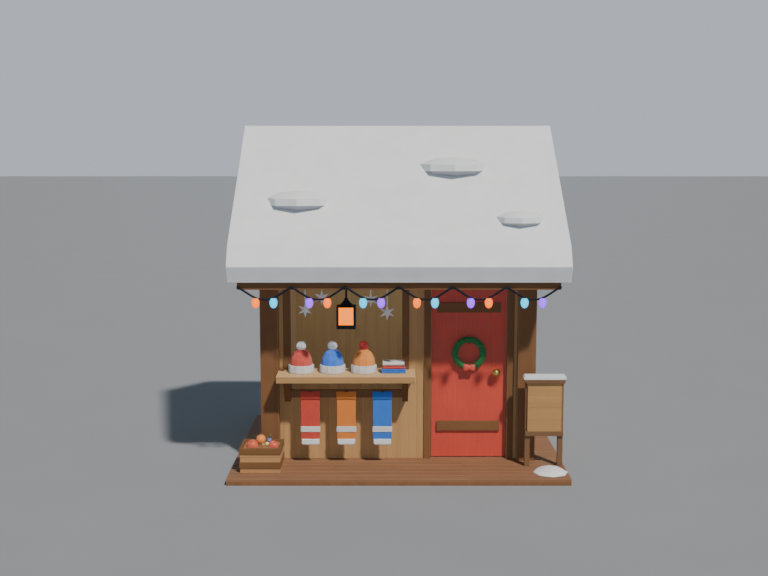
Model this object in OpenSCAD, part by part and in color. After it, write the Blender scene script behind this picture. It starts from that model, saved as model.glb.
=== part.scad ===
// Wooden market hut on a low deck, with a snow-covered gable roof, a sales window with a counter,
// a plank door, and the goods, lights and sign that hang on it or stand on its deck.
// X runs from left to right, Y away from the front, Z up.
// The origin is on the ground, under the middle of the ridge.

/* [Deck] */
// Width of the deck
deck_width = 4000; // [3980:10:4600]
// How far the deck reaches in front of the ridge line
deck_front = 1885; // [1885:5:2400]
// Thickness of the floor boards
floor_thickness = 30; // [20:1:45]
// Height of the bearers under the floor boards
bearer_height = 50; // [40:5:150]
// Width of one bearer
bearer_width = 60; // [45:5:100]
// Number of bearers from side to side
bearer_count = 11; // [10:1:15]

/* [Posts and walls] */
// Width over the corner posts
hut_width = 3340; // [3300:10:3600]
// Depth over the corner posts
hut_depth = 2280; // [2100:10:2600]
// Side of the square corner posts
post_size = 220; // [180:5:260]
// Height of the corner posts above the deck
post_height = 2500; // [2400:10:2800]
// Thickness of the walls
wall_thickness = 110; // [60:5:130]
// How far the side walls stand inside the posts
side_wall_step = 50; // [20:5:60]
// Height of the eaves beams at their outer edge
plate_height = 140; // [100:5:200]

/* [Roof] */
// Slope of the roof in degrees
roof_angle = 38.35; // [30:0.05:42]
// Level reach of the roof frame from the ridge to the face of the fascia
roof_reach = 1750; // [1600:10:1790]
// Length of the roof frame along the ridge
roof_length = 3708; // [3600:4:3900]
// Depth of a rafter, square to the slope
rafter_depth = 100; // [80:5:140]
// Width of a rafter
rafter_width = 60; // [45:5:80]
// Number of rafters on each slope
rafter_count = 11; // [10:1:15]
// Thickness of the roof boards
roof_board_thickness = 25; // [18:1:35]
// How far the roof boards run past the fascia and the end rafters
roof_board_overhang = 16; // [5:1:40]
// Gap between the roof boards of the two slopes at the ridge
ridge_gap = 10; // [4:1:30]
// Thickness of the ridge board
ridge_thickness = 50; // [35:5:80]
// Depth of the ridge board
ridge_depth = 220; // [160:5:280]
// Thickness of the fascia boards
fascia_thickness = 40; // [25:5:60]

/* [Snow] */
// Depth of the snow, square to the slope
snow_depth = 305; // [100:5:400]
// Length of the snow along the ridge
snow_length = 3920; // [3800:10:3980]
// Level distance from the ridge to the foot of the snow
snow_foot = 1804; // [1800:2:1900]
// How far the lip of the snow hangs out past its foot
snow_lip_out = 83; // [40:1:120]
// Height of the lip above the foot
snow_lip_rise = 191; // [60:1:200]
// How far the upper crease lies behind the lip
snow_crease_back = 134; // [60:1:200]
// Distance of each lump's middle from the middle of the ridge
snow_lump_x = [-1188, 683, 1419];
// Distance of each lump's middle from the ridge, on the front slope
snow_lump_y = [-1114, -616, -1377];
// Half width of each lump
snow_lump_radii = [374, 412, 280];
// Half depth of each lump, from front to back
snow_lump_depths = [285, 305, 214];
// Half height of each lump
snow_lump_heights = [133, 130, 104];

/* [Window and counter] */
// Middle of the window, left of the ridge middle
window_middle = -632; // [-660:2:-600]
// Clear width of the window
window_width = 1363; // [1200:1:1380]
// Height of the window and door openings above the deck
opening_height = 2120; // [2000:10:2200]
// Width of the framing round both openings
frame_width = 85; // [60:1:95]
// How far the framing stands proud of the wall
frame_proud = 20; // [5:1:40]
// Height of the lintels
lintel_height = 85; // [60:5:120]
// Height of the counter top above the deck
counter_height = 1117; // [900:1:1200]
// Thickness of the counter top
counter_thickness = 83; // [40:1:100]
// How far the counter stands out from the wall
counter_reach = 439; // [300:1:500]
// How far the counter runs past the window framing on the right
counter_end = 66; // [20:1:100]
// Distance between the middles of the counter brackets
bracket_spacing = 1414; // [1200:2:1450]
// Width of a bracket
bracket_width = 70; // [40:1:90]
// Height of a bracket
bracket_height = 264; // [200:1:350]
// How far a bracket reaches under the counter
bracket_reach = 410; // [280:5:430]
// Depth of a bracket at its foot
bracket_foot = 243; // [100:1:270]
// Thickness of a bracket's nose
bracket_nose = 24; // [10:1:60]

/* [Hanging rail and scarves] */
// Height of the rail that carries the scarves
rail_height = 93; // [50:1:110]
// Thickness of the rail
rail_thickness = 40; // [20:1:60]
// Distance from the wall to the front of the rail
rail_reach = 260; // [120:5:270]
// Gap between the counter's underside and the rail
rail_drop = 117; // [60:1:150]
// Radius of a peg on the rail
peg_radius = 9; // [6:0.5:14]
// How far a peg stands out from the rail
peg_length = 48; // [32:1:60]
// Distance between the middles of the scarves
scarf_spacing = 433; // [300:1:440]
// Width of a folded scarf
scarf_width = 245; // [160:1:280]
// Length of a folded scarf
scarf_length = 666; // [500:1:750]
// Thickness of a folded scarf
scarf_thickness = 24; // [12:1:30]

/* [Goods on the counter] */
// Radius of a hat at its turned-up brim
hat_radius = 155; // [100:1:165]
// Height of the brim
hat_brim_height = 97; // [40:1:120]
// Height of the crown above the brim
hat_crown_height = 182; // [100:1:220]
// Radius of the bobble on a hat
bobble_radius = 63; // [30:1:70]
// Distance between the middles of the hats
hat_spacing = 377; // [340:1:385]
// Distance from the window's middle to the first hat
first_hat = -537; // [-550:1:-500]
// How far the hats' middles stand in front of the wall
hat_reach = 165; // [60:1:250]
// Width of the folded textiles
textile_width = 290; // [200:1:300]
// Depth of the folded textiles
textile_depth = 170; // [100:1:200]
// Height of each fold, from the lowest up
textile_heights = [55, 39, 42];
// Distance from the window's middle to the textiles
textile_place = 575; // [560:1:590]

/* [Door] */
// Middle of the door, right of the ridge middle
door_middle = 865; // [830:1:880]
// Clear width of the door opening
door_width = 927; // [800:1:940]
// Thickness of the door leaf
leaf_thickness = 60; // [35:1:60]
// Clearance at the sides and top of the leaf
leaf_gap = 8; // [6:0.5:12]
// Clearance under the leaf
leaf_floor_gap = 10; // [6:1:20]
// Width of a batten across the leaf
batten_width = 775; // [600:5:850]
// Height of a batten
batten_height = 120; // [80:5:160]
// Thickness of a batten
batten_thickness = 30; // [15:1:40]
// Heights of the battens' middles above the deck
batten_heights = [405, 1875];
// Radius of the door knob
knob_radius = 50; // [25:1:55]
// Height of the knob above the deck
knob_height = 1077; // [950:1:1150]
// Distance of the knob from the edge of the leaf that opens
knob_inset = 124; // [80:1:180]
// Radius of a hinge pin
pin_radius = 6; // [4:0.5:8]
// Running clearance of the hinge eyes on their pins
pin_clearance = 0.1; // [0.05:0.01:0.1]
// Radius of a hinge eye
eye_radius = 12; // [11:0.5:14]
// Height of a hinge strap
strap_height = 40; // [25:1:60]
// Length of a hinge strap
strap_length = 460; // [250:10:600]
// Thickness of the hinge iron
iron_thickness = 6; // [3:0.5:8]
// Radius of the wreath to the middle of its ring
wreath_radius = 170; // [120:1:200]
// Thickness of the wreath's ring, as a radius
wreath_ring = 41; // [20:1:45]
// Width of the wreath's bow
bow_width = 142; // [100:1:180]
// Height of the wreath's bow
bow_height = 92; // [50:1:110]
// Height of the wreath's middle above the deck
wreath_height = 1315; // [1200:1:1400]

/* [Lights] */
// Diameter of the cord of the light string
cord_diameter = 24; // [12:1:26]
// Radius of a bulb
bulb_radius = 46; // [25:1:55]
// Height of a bulb
bulb_height = 128; // [80:1:140]
// Width of the lantern
lantern_width = 230; // [150:1:260]
// Height of the lantern's body
lantern_height = 270; // [200:1:320]
// Thickness of the lantern's bars
lantern_bar = 25; // [12:1:30]
// Height of the lantern's base
lantern_base = 46; // [20:1:60]
// Height of the rim under the lantern's roof
lantern_rim = 8; // [6:1:30]
// Height of the lantern's roof
lantern_roof = 87; // [40:1:120]
// Length of the lantern's rod below the lintel
lantern_drop = 138; // [60:1:300]
// Radius of the lantern's rod
lantern_rod_radius = 13; // [6:1:16]

/* [Stars] */
// Radius of a star to its points
star_radius = 100; // [50:1:105]
// Radius of a star between its points
star_waist = 36; // [20:1:45]
// Thickness of a star
star_thickness = 12; // [4:1:20]
// Place of each star beside the window's middle
star_places = [-499, -298, 298, 499];
// Length of each star's wire from the lintel to its middle
star_drops = [275, 125, 150, 308];
// Radius of a star's wire
wire_radius = 7; // [1.5:0.5:8]

/* [Crate] */
// Distance from the left end of the deck to the crate's middle
crate_inset = 369; // [260:1:400]
// Width of the crate's body
crate_width = 471; // [420:1:480]
// Depth of the crate's body
crate_depth = 430; // [420:1:440]
// Height of the crate
crate_height = 294; // [250:1:340]
// Thickness of the crate's boards
crate_board = 20; // [12:1:22]
// Thickness of the crate's bands
crate_band = 10; // [6:1:15]
// Height of the crate's rim band
crate_rim_height = 70; // [40:1:90]
// Height of the band round the crate's middle
crate_middle_height = 76; // [40:1:90]
// Distance from the deck to the middle band
crate_middle_foot = 55; // [30:1:70]
// Distance from the front of the deck to the crate's front
crate_setback = 235; // [60:5:240]
// Depth of the bed of wood wool below the rim
crate_bed_drop = 24; // [10:1:60]
// Place of each fruit from the crate's middle and front
fruit_places = [[-113, 220], [137, 220], [-23, 320], [60, 262], [73, 375], [11, 255]];
// Height of each fruit's middle above the bed
fruit_heights = [5, 2, 53, 12, 26, 5];
// Radius of each fruit
fruit_radii = [69, 61, 59, 25, 30, 22];

/* [Sign stand] */
// Distance from the right end of the deck to the sign stand's middle
sign_inset = 255; // [255:1:300]
// Width over the sign's legs
sign_width = 457; // [350:1:460]
// Height of the sign above the deck, without its snow
sign_height = 1066; // [800:1:1300]
// Side of a sign leg
sign_leg = 62; // [40:1:70]
// Height of the board under the sign's snow
sign_top_rail = 60; // [40:1:80]
// Height of the lower rail
sign_low_rail = 55; // [35:1:80]
// Height of the lower rail's top above the deck
sign_panel_foot = 432; // [300:1:500]
// Thickness of the sign's panel
sign_panel_thickness = 24; // [12:1:40]
// How far the panel stands inside the outer faces of the legs
sign_panel_inset = 25; // [10:1:30]
// Distance from the front of the deck to the sign's front
sign_setback = 515; // [400:5:550]
// Depth of the snow on the sign
sign_snow_depth = 50; // [30:1:110]
// How far the sign's snow reaches past the legs
sign_snow_overhang = 24; // [5:1:26]

/* [Snow on the deck] */
// Half width of the snow heap on the deck
heap_radius = 204; // [100:1:205]
// Height of the heap
heap_height = 66; // [30:1:120]
// Distance from the right end of the deck to the heap's middle
heap_inset = 206; // [206:1:400]
// Distance from the front of the deck to the heap's middle
heap_setback = 261; // [226:1:265]

/* [Hidden] */
$fn = 48;

// Clearance that keeps a soft piece off what carries it
soft_gap = 0.3;
// Gap that keeps one sloping timber or bed of snow off the next
seat_gap = 0.1;
// Overlap that lets a cutting shape run past the face that it cuts
cut = 1;

deck_top = bearer_height + floor_thickness;
deck_rear = hut_depth / 2;

post_front = -hut_depth / 2;
wall_back = post_front + post_size;
wall_front = wall_back - wall_thickness;
post_inner = hut_width / 2 - post_size;
side_wall_inner = post_inner - side_wall_step;
post_top = deck_top + post_height;
eaves_z = post_top + plate_height;

rafter_tail = roof_reach - fascia_thickness;
snow_bed = rafter_depth + roof_board_thickness;
snow_lip = snow_foot + snow_lip_out;
snow_crease = snow_lip - snow_crease_back;
ridge_foot = roof_z(0, rafter_depth) - ridge_depth;

opening_top = deck_top + opening_height;
lintel_top = opening_top + lintel_height;
window_left = window_middle - window_width / 2;
window_right = window_middle + window_width / 2;
door_left = door_middle - door_width / 2;
door_right = door_middle + door_width / 2;

counter_z = deck_top + counter_height;
counter_foot = counter_z - counter_thickness;
counter_left = -post_inner;
counter_right = window_right + frame_width + counter_end;
counter_middle = (counter_left + counter_right) / 2;
rail_front = wall_front - rail_reach;
rail_top = counter_foot - rail_drop;
scarf_back = rail_front - soft_gap;
scarf_top = rail_top - 7;

leaf_left = door_left + leaf_gap;
leaf_right = door_right - leaf_gap;
leaf_front = wall_back - leaf_thickness;
hinge_x = door_left;
hinge_y = wall_back + eye_radius + 2;
eye_gap = 0.5;

hang_y = (wall_front - frame_proud + wall_back) / 2;

// Half outline of a lump of snow, as shares of its half width and half height
LENS = [[0, -1], [0.62, -0.81], [1, -0.31], [1, 0.31], [0.62, 0.81], [0, 1]];

hook_radius = 5;
hook_length = 34;
end_clip = 30;
end_clip_length = 8;
cord_y = -roof_reach - cord_diameter / 2 - soft_gap;
swag_count = 6;
swag_width = (roof_length - 2 * end_clip_length) / swag_count;
// One swag of the cord, from hook to hook: share of its width and height
SWAG = [[0, 2300], [0.085, 2270], [0.333, 2176], [0.5, 2160], [0.667, 2176], [0.915, 2270]];
CORD_ROUTE = concat(
    [for (swag = [0 : swag_count - 1]) for (point = SWAG)
        [(swag - swag_count / 2 + point[0]) * swag_width, cord_y, point[1]]],
    [[swag_count / 2 * swag_width, cord_y, SWAG[0][1]]]);
// Fall of the cord beside a hook, in degrees
cord_fall = atan((SWAG[0][1] - SWAG[1][1]) / (SWAG[1][0] * swag_width));
hook_z = SWAG[0][1] - cord_diameter / 2 - hook_radius / cos(cord_fall) - soft_gap;

crate_middle = crate_inset - deck_width / 2;
crate_front = -deck_front + crate_setback;
crate_bed_z = deck_top + crate_height - crate_bed_drop;
sign_middle = deck_width / 2 - sign_inset;
sign_front = -deck_front + sign_setback;
heap_middle = deck_width / 2 - heap_inset;

// Height of the roof at a level distance from the ridge, raised square to the slope by a lift
// above the rafters' underside
function roof_z(y, lift) =
    eaves_z + (hut_depth / 2 - abs(y)) * tan(roof_angle) + lift / cos(roof_angle);

// Box given by its low and high corners
module block(low, high) {
    translate(low) cube(high - low);
}

// Outline in Y and Z, drawn out along X between two ends
module run_along_x(outline, from_x, to_x) {
    translate([from_x, 0, 0]) rotate([90, 0, 90]) linear_extrude(to_x - from_x) polygon(outline);
}

// The children, and their mirror image on the other side of the ridge line
module front_and_rear() {
    children();
    mirror([0, 1, 0]) children();
}

module left_and_right() {
    children();
    mirror([1, 0, 0]) children();
}

module deck_frame() {
    first = -(deck_width - bearer_width) / 2;
    step = (deck_width - bearer_width) / (bearer_count - 1);
    color("saddlebrown") {
        for (i = [0 : bearer_count - 1])
            translate([first + i * step - bearer_width / 2, -deck_front, 0])
                cube([bearer_width, deck_front + deck_rear, bearer_height]);
        for (y = [-deck_front, deck_rear - bearer_width])
            translate([-deck_width / 2, y, 0]) cube([deck_width, bearer_width, bearer_height]);
    }
}

module deck_floor() {
    color("peru") block([-deck_width / 2, -deck_front, bearer_height], [deck_width / 2, deck_rear, deck_top]);
}

module corner_posts() {
    color("saddlebrown") left_and_right() front_and_rear()
        block([post_inner, post_front, deck_top], [hut_width / 2, wall_back, post_top]);
}

module front_wall_uprights() {
    ends = [[-post_inner, window_left - frame_width], [window_right + frame_width, door_left - frame_width],
            [door_right + frame_width, post_inner]];
    color("burlywood") for (end = ends)
        block([end[0], wall_front, deck_top], [end[1], wall_back, lintel_top]);
}

module front_wall_under_window() {
    color("burlywood")
        block([window_left - frame_width, wall_front, deck_top],
              [window_right + frame_width, wall_back, counter_foot]);
}

module front_wall_head() {
    color("burlywood") block([-post_inner, wall_front, lintel_top], [post_inner, wall_back, post_top]);
}

// Side wall with its gable, notched at the top for the ridge board
module side_wall() {
    outline = [[wall_back, deck_top], [-wall_back, deck_top], [-wall_back, roof_z(wall_back, 0)],
               [0, roof_z(0, 0)], [wall_back, roof_z(wall_back, 0)]];
    difference() {
        run_along_x(outline, side_wall_inner, side_wall_inner + wall_thickness);
        block([side_wall_inner - cut, -ridge_thickness / 2, ridge_foot],
              [side_wall_inner + wall_thickness + cut, ridge_thickness / 2, roof_z(0, rafter_depth)]);
    }
}

module left_wall() {
    color("burlywood") mirror([1, 0, 0]) side_wall();
}

module right_wall() {
    color("burlywood") side_wall();
}

module rear_wall() {
    color("burlywood") block([-post_inner, -wall_back, deck_top], [post_inner, -wall_front, post_top]);
}

// Beam on the posts, bevelled on top to carry the rafters
module eaves_beams() {
    outline = [[post_front, post_top], [wall_back, post_top], [wall_back, roof_z(wall_back, 0)],
               [post_front, roof_z(post_front, 0)]];
    color("saddlebrown") front_and_rear() run_along_x(outline, -hut_width / 2, hut_width / 2);
}

module ridge_board() {
    half = ridge_thickness / 2;
    outline = [[-half, ridge_foot], [half, ridge_foot], [half, roof_z(half, rafter_depth)],
               [0, roof_z(0, rafter_depth)], [-half, roof_z(half, rafter_depth)]];
    color("sienna") run_along_x(outline, -roof_length / 2, roof_length / 2);
}

module rafters() {
    top = -ridge_thickness / 2;
    outline = [[-rafter_tail, roof_z(rafter_tail, seat_gap)], [top, roof_z(top, seat_gap)],
               [top, roof_z(top, rafter_depth)], [-rafter_tail, roof_z(rafter_tail, rafter_depth)]];
    step = (roof_length - rafter_width) / (rafter_count - 1);
    color("sienna") front_and_rear() for (i = [0 : rafter_count - 1])
        run_along_x(outline, -roof_length / 2 + i * step, -roof_length / 2 + i * step + rafter_width);
}

module roof_boards() {
    foot = roof_reach + roof_board_overhang;
    half = roof_length / 2 + roof_board_overhang;
    underside = rafter_depth + seat_gap;
    outline = [[-foot, roof_z(foot, underside)], [-ridge_gap / 2, roof_z(ridge_gap / 2, underside)],
               [-ridge_gap / 2, roof_z(ridge_gap / 2, snow_bed)], [-foot, roof_z(foot, snow_bed)]];
    color("saddlebrown") front_and_rear() run_along_x(outline, -half, half);
}

module fascia_boards() {
    foot = roof_z(rafter_tail, 0);
    outline = [[-roof_reach, foot], [-rafter_tail, foot], [-rafter_tail, roof_z(rafter_tail, rafter_depth)],
               [-roof_reach, roof_z(roof_reach, rafter_depth)]];
    color("saddlebrown") front_and_rear() run_along_x(outline, -roof_length / 2, roof_length / 2);
}

module window_jambs() {
    color("saddlebrown") for (x = [window_left - frame_width, window_right])
        block([x, wall_front - frame_proud, counter_z], [x + frame_width, wall_back, opening_top]);
}

module door_jambs() {
    color("saddlebrown") for (x = [door_left - frame_width, door_right])
        block([x, wall_front - frame_proud, deck_top], [x + frame_width, wall_back, opening_top]);
}

module lintels() {
    color("saddlebrown") for (ends = [[window_left, window_right], [door_left, door_right]])
        block([ends[0] - frame_width, wall_front - frame_proud, opening_top],
              [ends[1] + frame_width, wall_back, lintel_top]);
}

module counter_top() {
    color("tan") {
        block([counter_left, wall_front - counter_reach, counter_foot],
              [counter_right, wall_front, counter_z]);
        block([window_left - frame_width, wall_front - cut, counter_foot],
              [window_right + frame_width, wall_back, counter_z]);
    }
}

module counter_brackets() {
    outline = [[wall_front, counter_foot], [wall_front - bracket_reach, counter_foot],
               [wall_front - bracket_reach, counter_foot - bracket_nose],
               [wall_front - bracket_foot, counter_foot - bracket_height],
               [wall_front, counter_foot - bracket_height]];
    color("saddlebrown") for (side = [-1, 1])
        translate([counter_middle + side * bracket_spacing / 2, 0, 0])
            run_along_x(outline, -bracket_width / 2, bracket_width / 2);
}

// Rail between the brackets, with a peg for each scarf
module scarf_rail() {
    half = (bracket_spacing - bracket_width) / 2;
    color("saddlebrown") {
        block([counter_middle - half, rail_front, rail_top - rail_height],
              [counter_middle + half, rail_front + rail_thickness, rail_top]);
        for (i = [-1 : 1])
            translate([counter_middle + i * scarf_spacing, rail_front + cut, scarf_top])
                rotate([90, 0, 0]) cylinder(h = peg_length + cut, r = peg_radius);
    }
}

// Folded scarf, notched at the top where its loop rests over the peg
module scarf(place) {
    x = counter_middle + place * scarf_spacing;
    difference() {
        block([x - scarf_width / 2, scarf_back - scarf_thickness, scarf_top - scarf_length],
              [x + scarf_width / 2, scarf_back, scarf_top]);
        translate([x, scarf_back + cut, scarf_top]) rotate([90, 0, 0])
            cylinder(h = scarf_thickness + 2 * cut, r = peg_radius + soft_gap);
    }
}

module red_scarf() {
    color("indianred") scarf(-1);
}

module orange_scarf() {
    color("peru") scarf(0);
}

module blue_scarf() {
    color("steelblue") scarf(1);
}

// Bobble hat that stands on its turned-up brim
module hat(place) {
    crown = hat_radius - 20;
    outline = [[0, 0], [hat_radius, 0], [hat_radius, hat_brim_height], [crown, hat_brim_height],
               [crown * 0.94, hat_brim_height + hat_crown_height * 0.4],
               [crown * 0.72, hat_brim_height + hat_crown_height * 0.78],
               [crown * 0.34, hat_brim_height + hat_crown_height], [0, hat_brim_height + hat_crown_height]];
    x = window_middle + first_hat + place * hat_spacing;
    translate([x, wall_front - hat_reach, counter_z + soft_gap]) {
        rotate_extrude() polygon(outline);
        translate([0, 0, hat_brim_height + hat_crown_height + bobble_radius * 0.68]) sphere(bobble_radius);
    }
}

module red_hat() {
    color("indianred") hat(0);
}

module blue_hat() {
    color("steelblue") hat(1);
}

module orange_hat() {
    color("peru") hat(2);
}

module folded_textiles() {
    widths = [textile_width, textile_width * 0.92, textile_width * 0.9];
    x = window_middle + textile_place;
    y = wall_front - hat_reach - textile_depth / 2;
    color("lightsteelblue") translate([x, y, counter_z + soft_gap]) for (i = [0 : 2]) {
        foot = i == 0 ? 0 : i == 1 ? textile_heights[0] : textile_heights[0] + textile_heights[1];
        block([-widths[i] / 2, 0, foot], [widths[i] / 2, textile_depth, foot + textile_heights[i]]);
    }
}

// Leaf with the nail that the wreath hangs on
module door_leaf() {
    color("firebrick") {
        block([leaf_left, leaf_front, deck_top + leaf_floor_gap],
              [leaf_right, wall_back, opening_top - leaf_gap]);
        translate([door_middle, leaf_front + cut, wreath_nail_z()]) rotate([90, 0, 0])
            cylinder(h = 2 * wreath_ring + cut, r = hook_radius);
    }
}

function wreath_nail_z() = deck_top + wreath_height + wreath_radius - wreath_ring - hook_radius - soft_gap;

module door_battens() {
    color("saddlebrown") for (height = batten_heights)
        translate([door_middle - batten_width / 2, leaf_front - batten_thickness,
                   deck_top + height - batten_height / 2])
            cube([batten_width, batten_thickness, batten_height]);
}

module door_knob() {
    neck = 40;
    color("goldenrod") translate([leaf_right - knob_inset, leaf_front, deck_top + knob_height]) {
        rotate([90, 0, 0]) cylinder(h = neck, r = knob_radius * 0.4);
        translate([0, -neck - knob_radius * 0.7, 0]) sphere(knob_radius);
    }
}

// Strap on the inner face of the leaf, with an eye round the pin
module door_straps() {
    color("dimgray") for (height = batten_heights)
        translate([0, 0, deck_top + height - strap_height / 2]) difference() {
            union() {
                block([hinge_x + 2, wall_back, 0],
                      [hinge_x + strap_length, wall_back + iron_thickness, strap_height]);
                translate([hinge_x, hinge_y, 0]) cylinder(h = strap_height, r = eye_radius);
            }
            translate([hinge_x, hinge_y, -cut])
                cylinder(h = strap_height + 2 * cut, r = pin_radius + pin_clearance);
        }
}

// Plate on the inner face of the jamb, with a shoulder under the eye and the pin through it
module hinge_pintles() {
    shoulder = 24;
    color("dimgray") for (height = batten_heights)
        translate([0, 0, deck_top + height - strap_height / 2]) {
            block([hinge_x - frame_width + 10, wall_back, -shoulder - eye_gap],
                  [hinge_x - eye_radius - 2, wall_back + iron_thickness, strap_height]);
            block([hinge_x - eye_radius - 3, wall_back, -shoulder - eye_gap],
                  [hinge_x - pin_radius, wall_back + iron_thickness, -eye_gap]);
            translate([hinge_x, hinge_y, -shoulder - eye_gap]) cylinder(h = shoulder, r = eye_radius);
            translate([hinge_x, hinge_y, -eye_gap]) cylinder(h = strap_height + eye_gap, r = pin_radius);
        }
}

// Ring of twigs with a ribbon bow at its foot
module door_wreath() {
    // Half outline of the bow, as shares of its half width and half height
    half_bow = [[0, 0.4], [0.8, 1], [1, 0], [0.8, -1], [0, -0.4]];
    color("seagreen") translate([door_middle, leaf_front - soft_gap - wreath_ring, deck_top + wreath_height])
        rotate([90, 0, 0]) {
            rotate_extrude() translate([wreath_radius, 0]) circle(wreath_ring, $fn = 32);
            translate([0, -wreath_radius, 0]) linear_extrude(wreath_ring + 14) left_and_right()
                polygon([for (point = half_bow) [point[0] * bow_width / 2, point[1] * bow_height / 2]]);
        }
}

// Snow on one slope, with a lip that hangs over the eaves
module snow_slope() {
    underside = snow_bed + seat_gap;
    outline = [[0, roof_z(0, underside)], [0, roof_z(0, snow_bed + snow_depth)],
               [-snow_crease, roof_z(snow_crease, snow_bed + snow_depth)],
               [-snow_lip, roof_z(snow_foot, underside) + snow_lip_rise],
               [-snow_foot, roof_z(snow_foot, underside)]];
    run_along_x(outline, -snow_length / 2, snow_length / 2);
}

module roof_snow_front() {
    color("white") snow_slope();
}

module roof_snow_rear() {
    color("white") mirror([0, 1, 0]) snow_slope();
}

// Lumps that lie on the front slope, cut off where they meet it
module snow_lumps() {
    top = snow_bed + snow_depth + seat_gap;
    below = [[0, 0], [0, roof_z(0, top)], [-hut_depth, roof_z(hut_depth, top)], [-hut_depth, 0]];
    color("white") for (i = [0 : len(snow_lump_radii) - 1]) {
        x = snow_lump_x[i];
        y = snow_lump_y[i];
        wide = snow_lump_radii[i];
        high = snow_lump_heights[i];
        difference() {
            translate([x, y, roof_z(y, snow_bed + snow_depth) - high * LENS[3][1]])
                resize([2 * wide, 2 * snow_lump_depths[i], 2 * high]) rotate_extrude($fn = 8) polygon(LENS);
            run_along_x(below, x - wide - cut, x + wide + cut);
        }
    }
}

// Point on a smooth curve through the points a, b, c and d, between b and c
function curve_point(a, b, c, d, t) =
    0.5 * (2 * b + (c - a) * t + (2 * a - 5 * b + 4 * c - d) * t * t + (3 * b - a - 3 * c + d) * t * t * t);

function route_point(route, i) = route[max(0, min(len(route) - 1, i))];

// Centre line of the cord, with one point more between each two of the route
function centre_line(route) = [
    for (i = [0 : len(route) - 2]) for (t = [0, 0.5])
        curve_point(route_point(route, i - 1), route[i], route[i + 1], route_point(route, i + 2), t),
    route[len(route) - 1]];

// Tube round a line of points in an X and Z plane
module tube(line, radius, sides) {
    last = len(line) - 1;
    rings = [for (i = [0 : last])
        let (ahead = line[min(last, i + 1)] - line[max(0, i - 1)],
             along = i == 0 || i == last ? [1, 0, 0] : ahead / norm(ahead),
             out = [-along[2], 0, along[0]])
        for (k = [0 : sides - 1])
            line[i] + radius * (cos(360 * k / sides) * out + sin(360 * k / sides) * [0, 1, 0])];
    walls = [for (i = [0 : last - 1]) for (k = [0 : sides - 1])
        let (next = (k + 1) % sides)
        [i * sides + k, i * sides + next, (i + 1) * sides + next, (i + 1) * sides + k]];
    ends = [[for (k = [sides - 1 : -1 : 0]) k], [for (k = [0 : sides - 1]) last * sides + k]];
    polyhedron(points = rings, faces = concat(walls, ends), convexity = 6);
}

module light_cord() {
    color("midnightblue") tube(centre_line(CORD_ROUTE), cord_diameter / 2, 8);
}

// Hooks under the cord where it is held, and a clip at each end of it
module cord_hooks() {
    color("midnightblue") {
        for (i = [1 : swag_count - 1])
            translate([(i - swag_count / 2) * swag_width, -roof_reach, hook_z])
                rotate([90, 0, 0]) cylinder(h = hook_length, r = hook_radius);
        left_and_right()
            translate([swag_count / 2 * swag_width, -roof_reach - end_clip, SWAG[0][1] - end_clip / 2])
                cube([end_clip_length, end_clip, end_clip]);
    }
}

// Bulbs that hug the cord from below, two on each swag
module light_bulbs() {
    half = bulb_height / 2;
    outline = [[0, -half], [bulb_radius * 0.6, -half * 0.85], [bulb_radius * 0.94, -half * 0.4],
               [bulb_radius, 0], [bulb_radius * 0.9, half * 0.45], [bulb_radius * 0.55, half * 0.85],
               [0, half]];
    groove = cord_diameter / 2 + soft_gap;
    lean = atan((SWAG[1][1] - SWAG[3][1]) / ((SWAG[3][0] - SWAG[1][0]) * swag_width));
    color("orange") for (swag = [0 : swag_count - 1]) for (at = [2, 4])
        translate([(swag - swag_count / 2 + SWAG[at][0]) * swag_width, cord_y, SWAG[at][1]]) difference() {
            translate([0, 0, cord_diameter / 2 - half]) rotate_extrude() polygon(outline);
            rotate([0, (3 - at) * lean, 0])
                block([-bulb_radius, -groove, -groove], [bulb_radius, groove, bulb_radius]);
        }
}

// Lantern frame with its roof and rod, hung in the window
module lantern_frame() {
    half = lantern_width / 2;
    rod_seat = lantern_rod_radius + 4;
    top = opening_top - lantern_drop - lantern_roof;
    foot = top - lantern_height;
    color("midnightblue") translate([window_middle, hang_y, 0]) {
        block([-half, -half, foot], [half, half, foot + lantern_base]);
        block([-half, -half, top - lantern_rim], [half, half, top]);
        for (x = [-half, half - lantern_bar]) for (y = [-half, half - lantern_bar])
            translate([x, y, foot]) cube([lantern_bar, lantern_bar, lantern_height]);
        translate([0, 0, top]) rotate(45) cylinder(h = lantern_roof, r1 = half, r2 = rod_seat, $fn = 4);
        translate([0, 0, top + lantern_roof - cut]) cylinder(h = lantern_drop + cut, r = lantern_rod_radius);
    }
}

module lantern_glass() {
    half = lantern_width / 2;
    top = opening_top - lantern_drop - lantern_roof;
    pane = half - lantern_bar / 2;
    color("orange") translate([window_middle, hang_y, 0]) difference() {
        block([-pane, -pane, top - lantern_height + lantern_base], [pane, pane, top - lantern_rim]);
        for (x = [-half, half - lantern_bar]) for (y = [-half, half - lantern_bar])
            translate([x, y, top - lantern_height]) cube([lantern_bar, lantern_bar, lantern_height]);
    }
}

// Six-pointed stars on wires from the window's lintel
module hanging_stars() {
    outline = [for (i = [0 : 11]) let (r = i % 2 == 0 ? star_radius : star_waist)
        r * [sin(30 * i), cos(30 * i)]];
    color("silver") for (i = [0 : len(star_places) - 1])
        translate([window_middle + star_places[i], hang_y, opening_top - star_drops[i]]) {
            translate([0, star_thickness / 2, 0]) rotate([90, 0, 0])
                linear_extrude(star_thickness) polygon(outline);
            translate([0, 0, star_waist]) cylinder(h = star_drops[i] - star_waist, r = wire_radius);
        }
}

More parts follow.
